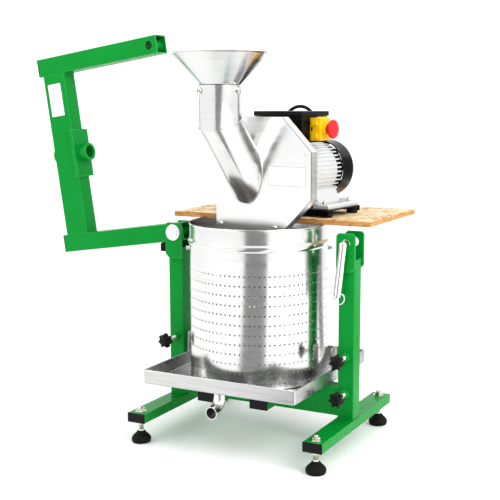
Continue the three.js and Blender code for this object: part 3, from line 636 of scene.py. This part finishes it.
def make_gland():
    """A hexagonal gland with a dome nut and the lead's tapered relief."""
    y, z, bore = 157, 90, 3.8
    dome = [(bore, y + 6), (9, y + 6), (8.5, y + 12), (5.5, y + 20), (bore, y + 20)]
    neck = [(bore, y - 4), (7.2, y - 4), (7.2, y + 0.3), (bore, y + 0.3)]
    shapes = (
        hexagon(18.6, y + 0.3, y + 6, "y", hole=bore),
        lathe(softened(dome, 1.2), "y", 48),
        lathe(neck, "y", 32, loop=True),
    )
    parts = [(shifted(shape, (0, 0, z)), BLACK) for shape in shapes]
    piece("cord_gland", parts, "root", UNIT, ("cable_gland",))


cord, cord_path = make_cord()
plug = make_plug()
make_gland()


# ---- stand
BEAM_TOP = 65.5
BEAM_LOW = 45.5
FOOT_Y = {"front": -160, "rear": 171}
KNOB_Z = {"lower": 118.5, "upper": 195}
KNOB_BACK = -55.5


def make_foot(side, end):
    """A rubber pad under a threaded bolt that turns in the foot beam, and the nuts that clamp it."""
    name = f"levelling_foot_{side}_{end}"
    where = machine_at(SIDES[side] * POST_X, FOOT_Y[end], 0)
    pad = [
        (0, 0), (17.5, 0), (19.2, 2), (20.4, 7), (20, 10),
        (17, 14.5), (12.5, 18.5), (9.5, 21.5), (8.4, 24), (0, 24),
    ]
    parts = [
        (lathe(softened(pad, 1.2), count=64), RUBBER),
        (hexagon(11.5, 24.1, 28.6), ZINC),
        (thread(5, 29, 77), ZINC),
    ]
    piece(name + "_made", parts, name + "_body", where, (name,))
    across, hole, nut_low = 15.5, 5.3, BEAM_TOP + 1.3
    washer = [(5.7, BEAM_TOP), (11.6, BEAM_TOP), (11.6, nut_low), (5.7, nut_low)]
    clamp = (
        lathe(softened(washer, 0.3), count=48, loop=True),
        hexagon(across, nut_low, nut_low + 6.2, hole=hole),
        hexagon(across, BEAM_LOW - 6.6, BEAM_LOW - 0.2, hole=hole),
    )
    piece(f"foot_nuts_{side}_{end}", coated(clamp, ZINC), "root", where)


def star_ring(y, scale):
    """One ring of a seven-lobed star."""
    lobes, base, ring = 7, 16, []
    count = lobes * 14
    for i in range(count):
        angle = math.tau * i / count
        radius = base * scale * (0.83 + 0.17 * math.cos(lobes * angle))
        ring.append((radius * math.sin(angle), y, radius * math.cos(angle)))
    return ring


def make_knob(side, level):
    """A seven-lobed knob on a threaded screw; y is measured from the post's middle."""
    name = f"clamp_knob_{side}_{level}"
    back, front, tip = KNOB_BACK, KNOB_BACK - 19, -14.8
    sections = (
        (6, 0.5), (1, 0.52), (0, 0.86), (-1.5, 0.97), (-5, 1),
        (-11, 1), (-14, 0.93), (-15.6, 0.75), (-16, 0.6),
    )
    dome = [(0, front), (6, front + 0.3), (9.5, front + 1.8), (10.5, front + 4), (0, front + 4)]
    parts = [
        (loft([star_ring(back + ahead, scale) for ahead, scale in sections]), BLACK),
        (lathe(softened(dome, 1.5), "y", 48), BLACK),
        (thread(4, back + 1, tip, "y", 1.25), ZINC),
        (hexagon(13, back + 6.1, back + 11.5, "y"), ZINC),
    ]
    where = machine_at(SIDES[side] * POST_X, 0, KNOB_Z[level])
    piece(name + "_made", parts, name + "_body", where, (name,), smooth=50)


def weld_bead(start, end, radius=1.6):
    """A round bead of weld under the paint."""
    return sweep([start, end], radius, 10)


def make_stand():
    dress(["foot_beam_left", "foot_beam_right", "post_left", "post_right", "tray_beam"], GREEN, 0.5)
    caps = [n for n in frame["nodes"] if n.startswith(("foot_cap", "bearer_cap"))]
    dress(caps, BLACK, 0.8)
    for side in SIDES:
        for end in FOOT_Y:
            make_foot(side, end)
        for level in KNOB_Z:
            make_knob(side, level)
    beads = []
    depth, low, high = 17.4, 71, 130
    for s in SIDES.values():
        x = s * (POST_X - 17.8)
        beads += [weld_bead((x, y, low), (x, y, high)) for y in (-depth, depth)]
        beads.append(weld_bead((x, -16, high + 1), (x, 16, high + 1)))
    for x in (-60, 60):
        beads += [weld_bead((x - 17, y, 97.5), (x + 17, y, 97.5), 1.3) for y in (-18, 18)]
    piece("stand_welds", coated(beads, GREEN), "root", smooth=60)


make_stand()


# ---- press arch
def make_hinge():
    """The hinge pin with its round head in front, and the collar that holds it at the back."""
    where = machine_at(-POST_X, 0, PIN_Z)
    head = [
        (0, -30.3), (11.8, -30.3), (12.6, -29.5), (16.6, -29.1), (17.8, -27.9), (17.8, -25.9),
        (8, -25.9), (8, 30.8), (6.8, 31.8), (0, 31.8),
    ]
    pin = lathe(softened(head, 0.8), "y")
    piece("hinge_pin_made", [(pin, CHROME)], "root", where, ("hinge_pin",))
    ring = softened([(8.3, 25.8), (13, 25.8), (13, 30.8), (8.3, 30.8)], 0.5)
    collar = lathe(ring, "y", 64, loop=True)
    piece("hinge_collar_made", [(collar, ZINC)], "root", where, ("hinge_collar",))


def make_lock():
    """A round bar bent like an L: its short leg sits in the clevis, its long leg hangs with the clip."""
    r, leg, handle = 8, 106, 27
    elbow = arc(0, 0, r, 90, -90, 18)
    hanging = lathe([(r, 0), (r, -leg + 1.5), (r - 1.5, -leg), (0, -leg)], "z", 40)
    hooked = lathe([(r, 0), (r, handle - 1.5), (r - 1.5, handle), (0, handle)], "y", 40)
    parts = [(hanging, CHROME), (hooked, CHROME), (lathe(elbow, "z", 40), CHROME)]
    piece("lock_pin_made", parts, "lock_pin_body", LOCK, ("lock_pin",), smooth=40)
    z = -leg + 8
    clip = [
        (-17, 0, z), (-8, 0, z), (3, 0, z), (9, 0, z + 0.5), (13.5, 0, z - 1.5), (15.8, 0, z - 7),
        (15, 0, z - 13.5), (11, 0, z - 19.5), (5, 0, z - 21.5), (-0.5, 0, z - 18.5), (-4.5, 0, z - 13),
        (-9, 0, z - 10.8), (-14, 0, z - 13.2),
    ]
    wire = sweep(smooth_line(clip, 6), 1.5, 14)
    piece("r_clip_made", [(wire, CHROME)], "r_clip_body", LOCK, ("r_clip",), smooth=60)


def make_arch():
    dress(["press_arch"], GREEN, 0.5)
    dress(["arch_cap_lower", "arch_cap_upper"], BLACK, 0.8)
    dress(["arch_stop"], RUBBER, 1.2)
    inner, outer, half = -233.5, -291.5, 19.5
    beads = []
    for z, up in ((0, 1), (400, -1)):
        level = z + up * (half + 0.2)
        beads.append(weld_bead((inner + 0.3, -17, level), (inner + 0.3, 17, level)))
        for y in (-half, half):
            beads.append(weld_bead((outer + 2, y * 0.99, level), (inner - 2, y * 0.99, level), 1.1))
    for z in (147, 253):
        beads.append(weld_bead((inner + 2, -18, z), (inner + 2, 18, z), 1.2))
    boss = [(inner + 6.4, a, 200 + b) for a, b, _ in circle(19.8, count=24)]
    beads.append(sweep(boss + boss[:1], 1.4, 8))
    piece("arch_welds", coated(beads, GREEN), "arch", ARCH, smooth=60)
    label_plate("arch_label", "arch", ARCH, (-282, -245.5), (287, 360), (-20, -19.6), (-20.2, -19.8))


make_hinge()
make_lock()
make_arch()


# ---- tray, basket and board
TRAY = {"x": 170, "front": -192, "rear": 166, "low": 137.4, "rim": 166.2}
SPOUT = {"y": -176, "end": -212, "r": 12.5, "bore": 11, "bend": 27}


def bore_out(obj, shape, where):
    """Cuts the shape out of a piece."""
    cutter = piece("cutter", [(shape, obj.data.materials[0])], "root", where)
    obj.modifiers.clear()
    modify(obj, "BOOLEAN", operation="DIFFERENCE", solver="EXACT", object=cutter)
    apply_modifiers(obj)
    flatten_shading(obj)
    bpy.data.objects.remove(cutter)


def tray_tab(x):
    """An upright tab of the tray's side sheet with rounded top corners."""
    y0, y1, low, top, corner, half = -20, 8, 160, 211, 9, 0.75
    outline = [(y0, low), (y1, low)] + arc(y1 - corner, top - corner, corner, 0, 90, 6)
    outline += arc(y0 + corner, top - corner, corner, 90, 180, 6)
    return loft([[(x + t, y, z) for y, z in outline] for t in (-half, half)])


def make_tray():
    """A shallow pan with a rounded rim and a hole over its spout, and its two side tabs."""
    w, h = 2 * TRAY["x"], TRAY["rear"] - TRAY["front"]
    low, rim = TRAY["low"], TRAY["rim"]
    # Rings up the outside and down the inside, each an inset, a height and a corner radius.
    sections = (
        (1.5, low, 2.5), (0, low + 2, 4), (0, rim - 0.7, 4), (0.4, rim - 0.1, 4), (1.4, rim, 3.5),
        (2.2, rim - 0.5, 3), (2.4, rim - 1.2, 2.6), (2.4, low + 3, 2.6), (4, low + 1.5, 2),
    )
    rings = [rounded_ring(w - 2 * inset, h - 2 * inset, radius, z) for inset, z, radius in sections]
    middle = machine_at(0, (TRAY["front"] + TRAY["rear"]) / 2, 0)
    tray = piece("drip_tray_made", [(loft(rings), BRUSHED)], "root", middle, ("drip_tray",))
    r, under, over = SPOUT["bore"] - 0.1, low - 7.4, low + 12.6
    hole = lathe([(0, under), (r, under), (r, over), (0, over)], "z", 48)
    bore_out(tray, hole, machine_at(0, SPOUT["y"], 0))
    tabs = [(tray_tab(s * (TRAY["x"] - 0.75)), BRUSHED) for s in SIDES.values()]
    piece("tray_tabs", tabs, "root", bevel=0.3)


def make_spout():
    """A short pipe that bends forward from under the tray, with an open mouth."""
    low, y, end, bend = TRAY["low"], SPOUT["y"], SPOUT["end"], SPOUT["bend"]
    drop = low - 6
    path = [(0, y, low + 0.2), (0, y, drop)]
    path += [(0, b, c) for b, c in arc(y - bend, drop, bend, 0, -90, 12)[1:]]
    path.append((0, end, drop - bend))
    collar = softened([(12.6, low - 2.4), (14.6, low - 1.2), (14.2, low - 0.1), (12.6, low - 0.1)], 0.4)
    mouth = [[(a, end, drop - bend + b) for a, b, _ in circle(r)] for r in (SPOUT["bore"], SPOUT["r"])]
    parts = [
        (sweep(path, SPOUT["r"], 48, ends=False), POLISHED),
        # The inner skin is in the darker steel: painted shade inside the pipe.
        (sweep(path, SPOUT["bore"], 48, ends=False), SHADED_BORE),
        (loft(mouth, ends=False), POLISHED),
        (shifted(lathe(collar, "z", 48, True), (0, y, 0)), BRUSHED),
    ]
    piece("tray_spout", parts, "root", smooth=40)


BASKET = {"y": -10, "r": 144, "low": 139.2, "top": 458, "bead": 420, "sheet": 1.2}
HOLES = {"rows": 12, "pitch": 19.5, "first": 366, "columns": 90, "r": 1.9}


def perforated_band():
    """The drum's side as a sheet of square cells with a round hole in each, over all the hole rows."""
    columns, pitch, r = HOLES["columns"], HOLES["pitch"], BASKET["r"]
    low = HOLES["first"] - pitch * (HOLES["rows"] - 0.5)
    wide = math.tau * r / columns
    index, points, faces = {}, [], []

    def at(u, z):
        key = (round(u % (math.tau * r), 3), round(z, 3))
        if key not in index:
            index[key] = len(points)
            points.append((r * math.cos(u / r), r * math.sin(u / r), z))
        return index[key]

    rim = [(1, 0), (1, 1), (0, 1), (-1, 1), (-1, 0), (-1, -1), (0, -1), (1, -1)]
    for row in range(HOLES["rows"]):
        for column in range(columns):
            u, z = (column + 0.5) * wide, low + pitch * (row + 0.5)
            outer = [at(u + a * wide / 2, z + b * pitch / 2) for a, b in rim]
            inner = [at(u + a, z + b) for a, b, _ in circle(HOLES["r"], count=len(rim))]
            for i in range(len(rim)):
                j = (i + 1) % len(rim)
                faces.append((outer[i], outer[j], inner[j], inner[i]))
    return (points, faces), low, low + pitch * HOLES["rows"]


def thicken(obj, thickness, inside=None):
    """Gives a skin its sheet thickness inwards, with the inside in a steel of its own if one is given; the
    basket's inside is a brighter copy of its steel, painted light.
    """
    slot = 0
    if inside:
        slot = len(obj.data.materials)
        obj.data.materials.append(inside)
    obj.modifiers.clear()
    modify(obj, "SOLIDIFY", thickness=thickness * MM, offset=-1,
           material_offset=slot, material_offset_rim=slot)
    apply_modifiers(obj)


def round_walls(obj, centre, axis):
    """Shades the walls that run along axis as one true cylinder, whatever holes are cut in them."""
    mesh = obj.data
    normals = [n.vector.copy() for n in mesh.corner_normals]
    for face in mesh.polygons:
        if abs(face.normal.dot(axis)) > 0.02:
            continue
        for corner in face.loop_indices:
            away = mesh.vertices[mesh.loops[corner].vertex_index].co - centre
            away = (away - axis * away.dot(axis)).normalized()
            if abs(face.normal.dot(away)) > 0.9:
                normals[corner] = away if face.normal.dot(away) > 0 else -away
    mesh.normals_split_custom_set(normals)


def make_basket():
    """A drum of thin sheet with a rolled bead, a turned rim and real juice holes."""
    band, low, high = perforated_band()
    r, bead, top = BASKET["r"], BASKET["bead"], BASKET["top"]
    count = HOLES["columns"] * 2
    foot = BASKET["low"]
    lower = [(0, foot), (r - 3, foot), (r - 0.7, foot + 0.9), (r, foot + 3), (r, low)]
    swell = [(r + 3.4 * math.sin(math.pi * i / 14), bead - 8 + 16 * i / 14) for i in range(15)]
    upper = [(r, high), (r, bead - 14)] + swell + [(r, bead + 12), (r, top - 4), (r + 0.8, top - 2.5)]
    upper += [(r + 1, top - 1.2), (r + 0.6, top - 0.2), (r - 0.4, top)]
    shapes = (lathe(lower, count=count), band, lathe(upper, count=count))
    where = machine_at(0, BASKET["y"], 0)
    drum = piece("basket_made", coated(shapes, DRUM), "root", where, ("basket",),
                 smooth=40)
    merge_points(drum, 2e-5)
    # The inside gets the brighter copy of the drum steel: painted light.
    thicken(drum, BASKET["sheet"], LIT_INSIDE_STEEL)
    round_walls(drum, where.translation, Vector((0, 0, 1)))
    stud = softened([
        (0, r - 1), (5, r - 1), (5, r + 2.4), (3.4, r + 2.6),
        (3.4, r + 5), (4.8, r + 5.2), (4.8, r + 7), (0, r + 7),
    ], 0.6)
    lug = shifted(lathe(stud, "x", 32), (0, 0, bead - 17))
    lugs = [(turned(lug, math.radians(angle), "z"), POLISHED) for angle in (27, 207)]
    piece("basket_lugs", lugs, "root", where)


make_tray()
make_spout()
make_basket()
dress(["board"], WOOD, 0.7)


# ---- crusher
INLET = {"x": -40, "y": -82, "r": 41, "bend": 101, "top": 171.5}
LEAN = math.radians(40)
SHEET = 1.5
HOUSING = {"half": 112, "cut": 66}


def pan_head(radius, height):
    """A domed screw head with a round socket, standing on y = 0 and facing -y."""
    across, deep, side = radius * 0.45, height * 0.45, height * 0.35
    dome = [(across, -height), (radius * 0.75, -height * 0.92), (radius, -side), (radius, 0), (0, 0)]
    socket = [(0, -deep), (radius * 0.42, -deep), (across, -height)]
    return lathe(socket + softened(dome, 0.3)[1:], "y", 40)


def upright_head(radius, height):
    """The same screw head facing up."""
    points, faces = pan_head(radius, height)
    return [(x, z, -y) for x, y, z in points], faces


def chute_wall(radius):
    """Rings of the upright tube's top, its mitre and the leaning tube's end on the front plate."""
    contact = -0.3
    rings = [[], [], []]
    for a, b, _ in circle(radius, count=96):
        x, y, mitre = INLET["x"] + a, INLET["y"] + b, INLET["bend"] + math.tan(LEAN / 2) * b
        reach = (contact - y) / math.sin(LEAN)
        rings[0].append((x, y, INLET["top"]))
        rings[1].append((x, y, mitre))
        rings[2].append((x, contact, mitre - reach * math.cos(LEAN)))
    return rings


def mitre_bead():
    ring = chute_wall(INLET["r"] + 0.1)[1]
    return sweep(ring + ring[:1], 0.7, 8)


def foot_bead():
    ring = chute_wall(INLET["r"] + 0.3)[2]
    return sweep([(x, -0.7, z) for x, _, z in ring + ring[:1]], 0.9, 8)


def make_chute():
    """The tube with its two weld beads, and the screws that hold the funnel in it."""
    wall = loft(chute_wall(INLET["r"]) + chute_wall(INLET["r"] - SHEET)[::-1], loop=True)
    parts = coated((wall, mitre_bead(), foot_bead()), SPUN)
    piece("chute_made", parts, "root", UNIT, ("chute",))
    head = shifted(pan_head(6.8, 4.8), (0, -INLET["r"], 0))
    screws = []
    for around in (-118, 2, 122):
        screw = turned(head, math.radians(around + 90), "z")
        screws.append((shifted(screw, (INLET["x"], INLET["y"], 161)), CHROME))
    piece("funnel_screws", screws, "root", UNIT)


def make_funnel():
    neck, top, rim = INLET["r"] - 2.5, INLET["top"], 232.5
    profile = [
        (neck - SHEET, top - 20), (neck, top - 20), (neck, top + 0.3), (INLET["r"] - 0.5, top + 1.5),
        (92.6, rim - 3.2), (94.5, rim - 2.4), (96.2, rim - 1.6), (97, rim - 0.8), (96.6, rim - 0.1),
        (95, rim), (93, rim - 0.6), (91, rim - 2.4), (neck, top + 1), (neck - SHEET, top),
    ]
    shape = shifted(lathe(profile, count=144, loop=True), (INLET["x"], INLET["y"], 0))
    piece("funnel_made", [(shape, SPUN)], "root", UNIT, ("funnel",), smooth=25)


def make_housing():
    dress(["housing_front", "housing_shell"], POLISHED, 0.4)
    dress(["cutter_disc"], BRUSHED, 0.5)
    places = ((101.4, 42.6), (-100.4, -102.3), (30.8, -102.6), (-101, 100))
    screws = [(shifted(pan_head(4.4, 2.6), (x, 0, z)), CHROME) for x, z in places]
    piece("housing_screws", screws, "root", UNIT)
    half, cut = HOUSING["half"], HOUSING["cut"]
    joint_line = [
        (cut - half, half), (half - cut, half), (half, half - cut), (half, cut - half), (half - cut, -half),
    ]
    # A thin black rod along the joint: painted shade in the gap between the front plate and the shell.
    seam = sweep([(x, 1.6, z) for x, z in joint_line], 0.45, 8)
    piece("housing_seam", [(seam, BLACK)], "root", UNIT)
    label_plate("front_label", "root", UNIT, (14.7, 99.4), (-20.1, 17), (-0.35, 0), (-0.5, -0.1))


make_chute()
make_funnel()
make_housing()


# ---- motor
MOTOR = {"front": 36, "end": 220, "r": 54.2, "fin": 57.5, "bore": 47, "fins": 40}
COVER = {"r": 61.2, "start": 216, "end": 265}
SOLE = -75.7


def fin_ring(y, grow):
    """A section of the barrel: its finned outside, grown from 0 to 1, and its bore."""
    outer, inner = [], []
    rises = ((0, 0), (0.34, 0), (0.42, 0.85), (0.52, 1), (0.66, 1), (0.76, 0.85), (0.84, 0))
    root, bore = MOTOR["r"], MOTOR["bore"]
    for i in range(MOTOR["fins"]):
        for share, rise in rises:
            angle = math.tau * (i + share) / MOTOR["fins"]
            r = root + (MOTOR["fin"] - root) * rise * grow
            outer.append((r * math.cos(angle), y, r * math.sin(angle)))
            inner.append((bore * math.cos(angle), y, bore * math.sin(angle)))
    return outer, inner


def motor_barrel():
    front, end = MOTOR["front"], MOTOR["end"]
    grown = (
        (front, 0.55), (front + 2.5, 0.95), (front + 4, 1),
        (end - 5.4, 1), (end - 4.6, 0.9), (end - 4.5, 0), (end, 0),
    )
    sections = [fin_ring(y, grow) for y, grow in grown]
    return loft([s[0] for s in sections] + [sections[-1][1], sections[0][1]], loop=True)


def motor_foot(side):
    """A cast foot: a flat sole with a rising inner edge, and a leaning web up to the barrel."""
    sole = []
    for y, low, high in ((122, 0.8, 7), (124, 0.3, 9), (247, 0.3, 9), (249, 0.8, 7)):
        outline = (
            (44, low), (80, low), (80, high - 2.5), (77.5, high), (56, high), (47, high + 5), (44, high + 5),
        )
        sole.append([(side * x, y, SOLE + z) for x, z in outline])
    web = []
    for y in (128, 214):
        outline = ((45, SOLE + 8), (54, SOLE + 8), (44, -40), (40, -33), (32, -36))
        web.append([(side * x, y, z) for x, z in outline])
    return [loft(sole), loft(web)]


def make_motor():
    shapes = [motor_barrel(), box(-45, 45, 150, 190, SOLE + 1, -52)]
    for side in SIDES.values():
        shapes += motor_foot(side)
    # A black ring under the fin ends by the fan cover: painted shade between the fin ends and in the gap
    # under the cover.
    shade_ring = lathe([(53.4, 202), (55.2, 202.4), (55.2, 221), (53.4, 221)], "y", loop=True)
    parts = coated(shapes, ALUMINIUM) + [(shade_ring, BLACK_STEEL)]
    piece("motor_made", parts, "root", UNIT, ("motor_body",), bevel=0.5, smooth=30)
    profile = [
        (12, 24.3), (47, 24.3), (57, 27), (58, 29), (58, 35.2), (56.6, 35.7), (46.5, 35.7), (46.5, 40),
        (40, 40), (36, 32), (24, 32), (24, 42), (19.3, 42), (19.3, 30), (12, 30),
    ]
    flange = lathe(profile, "y", loop=True)
    piece("motor_flange_made", [(flange, ALUMINIUM)], "root", UNIT, ("motor_flange",))


def make_motor_bolts():
    washer = lathe([(0, 0), (5.5, 0), (5.5, 1), (0, 1)], "z", 40)
    shapes = (washer, hexagon(8, 1, 4.4), thread(2.5, 4.2, 7.4, "z", 1))
    places = [(x, y, SOLE + 9.2) for x in (-62.5, 62.5) for y in (135, 235)]
    bolts = [(shifted(shape, place), ZINC) for place in places for shape in shapes]
    piece("motor_bolts", bolts, "root", UNIT)


def cover_grille():
    """The fan cover's back: a disc with rings of arc slots between six spokes."""
    end, count, spokes, spoke = COVER["end"], 96, 6, 3
    radii = [0, 12, 18, 26, 30, 38, 42, 50, 54.2]
    slots = (18, 30, 42)
    points, faces = [(0, end, 0)], []
    for r in radii[1:]:
        points += oriented(circle(r, end, count), "y")
    for level, low in enumerate(radii[:-1]):
        for i in range(count):
            if low in slots and i % (count // spokes) >= spoke:
                continue
            j = (i + 1) % count
            a = 1 + (level - 1) * count
            b = 1 + level * count
            faces.append((0, b + i, b + j) if level == 0 else (a + i, b + i, b + j, a + j))
    return points, faces


def make_cover():
    r, start, end, wide, deep = COVER["r"], COVER["start"], COVER["end"], 7, 9
    skin = [(r, start), (r, start + 3), (r, end - 30)]
    skin += [(r - wide + wide * a, end - deep + deep * b) for a, b in arc(0, 0, 1, 0, 90, 8)]
    parts = [(lathe(skin, "y", 96), BLACK_STEEL), (cover_grille(), BLACK_STEEL)]
    cover = piece("fan_cover_made", parts, "root", UNIT, ("fan_cover",), smooth=40)
    merge_points(cover, 5e-5)
    thicken(cover, 1.2)
    flatten_shading(cover)
    head = shifted(upright_head(3.4, 1.4), (0, 226, r - 1.4))
    screws = [(turned(head, math.radians(angle), "y"), ZINC) for angle in (45, 135, 225, 315)]
    piece("cover_screws", screws, "root", UNIT)


def make_base():
    """The base plate's two lips, and the four rubber mounts between it and the board."""
    dress(["base_plate"], BLACK_STEEL, 0.8)
    lips = [box(-84.6, 84.6, y - 0.6, y + 0.6, SOLE - 12, SOLE - 2.9) for y in (112.6, 245.4)]
    piece("base_lips", coated(lips, BLACK_STEEL), "root", UNIT, bevel=0.3)
    board_top, gap = (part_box("board")[1].z - UNIT.translation.z) / MM, 0.3
    low, high = board_top + gap, SOLE - 3.3
    profile = [
        (0, low), (10, low), (12.5, low + 3), (10.6, (low + high) / 2),
        (12.5, high - 2), (12, high), (0, high),
    ]
    mount = lathe(softened(profile, 1), count=48)
    for side, s in SIDES.items():
        for end, y in (("front", 128), ("rear", 233)):
            name = f"rubber_mount_{side}_{end}"
            shape = shifted(mount, (s * 73, y, 0))
            piece(name + "_made", [(shape, RUBBER)], "root", UNIT, (name,))


make_motor()
make_motor_bolts()
make_cover()
make_base()
dress(["rotor_shaft", "shaft_bearing"], ZINC, 0.2)
dress(["rotor_core", "capacitor"], IRON, 0.3)
dress(["cooling_fan"], BLACK, 0.3)
dress(["stator"], WINDING, 0.3)


# ---- control box and switch
SWITCH = {"y": 107, "z": 87, "base": 72, "face": 80}


def make_box():
    dress(["control_box", "box_lid"], BLACK, 1.4)
    head = upright_head(3, 1.2)
    screws = [(shifted(head, (x, y, 121.1)), ZINC) for x in (-50, 50) for y in (63, 152)]
    piece("lid_screws", screws, "root", UNIT)


def make_switch():
    """The yellow base with its side tabs, the thin black plates painted as shade in its notches, and the
    hinged cover's rod.
    """
    dress(["switch_base", "switch_flap"], YELLOW, 1.0)
    dress(["start_button"], LEAF, 0.5)
    y, base = SWITCH["y"], SWITCH["base"]
    parts = []
    for z in (74, 100):
        for near, far in ((-24.5, -19), (19, 20.4)):
            parts.append((box(base - 10, base + 2, y + near, y + far, z - 5, z + 5), YELLOW))
    # Thin black plates on the base's left edge: painted shade in its notches.
    for z in (70, 83, 96):
        parts.append((box(base - 13.5, base - 10.2, y - 19.4, y - 18.6, z, z + 8), BLACK))
    piece("switch_tabs", parts, "root", UNIT, bevel=0.4)
    rod = lathe([(0, y - 18), (2, y - 18), (2, y + 18), (0, y + 18)], "y", 24)
    parts = [(shifted(rod, (base + 0.3, 0, 109.2)), YELLOW)]
    piece("flap_hinge_rod", parts, "switch_flap_body", UNIT, smooth=50)


def make_stop_button():
    """A mushroom on the stem that runs through the cover."""
    stem, low, face = 8, SWITCH["base"] + 5, SWITCH["face"] + 12
    profile = [
        (0, low), (stem, low), (stem, face), (13, face + 0.3), (18.9, face + 3.6), (19.1, face + 6.4),
        (16.9, face + 10.2), (9, face + 12.2), (0, face + 12.6),
    ]
    button = shifted(lathe(softened(profile, 1.2), "x", 72), (0, SWITCH["y"], SWITCH["z"]))
    piece("stop_button_made", [(button, RED)], "stop_button_body", UNIT, ("stop_button",),
          smooth=40)


make_box()
make_switch()
make_stop_button()


# ---- studio
def studio_world():
    """An even white room."""
    world = bpy.data.worlds.new("studio")
    bpy.context.scene.world = world
    world.use_nodes = True
    background = world.node_tree.nodes["Background"]
    background.inputs["Color"].default_value = (1, 1, 1, 1)
    background.inputs["Strength"].default_value = 1.08


def area_light(name, place, size, power):
    data = bpy.data.lights.new(name, "AREA")
    data.shape = "RECTANGLE"
    data.size, data.size_y, data.energy = size[0], size[1], power
    light = add_object(name, data)
    light.location = place
    light.rotation_euler = (Vector((0, 0, 0.4)) - Vector(place)).to_track_quat("-Z", "Y").to_euler()


def grey_card(name, turn, near, far, spread, high):
    """A grey card standing out of the picture, wider further away: round steel shows it as a band."""
    lift = 0.002
    a, b = near * spread, far * spread
    flat = [(-a, -near, lift), (a, -near, lift), (b, -far, lift), (-b, -far, lift)]
    mesh = bpy.data.meshes.new(name)
    mesh.from_pydata(flat + [(-b, -far, high), (b, -far, high)], [], [(0, 1, 2, 3), (3, 2, 5, 4)])
    mesh.materials.append(CARD)
    card = add_object(name, mesh)
    card.matrix_world = Matrix.Rotation(math.radians(CAMERA["yaw"] + turn), 4, "Z")
    card.visible_camera = False
    card.visible_diffuse = False
    card.visible_shadow = False


def studio_floor():
    mesh = bpy.data.meshes.new("floor")
    reach = 30
    corners = [(-reach, -reach, 0), (reach, -reach, 0), (reach, reach, 0), (-reach, reach, 0)]
    mesh.from_pydata(corners, [], [(0, 1, 2, 3)])
    mesh.materials.append(Finish("floor", grey(0.93), 0.8, Specular_IOR_Level=0.1).material)
    add_object("floor", mesh)


studio_world()
studio_floor()
CARD = Finish("card", grey(0.24), 1.0, Specular_IOR_Level=0.1).material
grey_card("card_front", -1, 0.45, 2.6, 0.31, 2.2)
grey_card("card_back", 113, 0.9, 2.4, 0.12, 1.6)
area_light("key", (2.4, -0.9, 1.8), (1.2, 1.8), 36)
area_light("fill", (-1.8, -2.0, 2.2), (1.6, 1.6), 12)
bpy.context.scene.view_settings.view_transform = "Standard"
bpy.context.scene.view_settings.look = "Medium High Contrast"
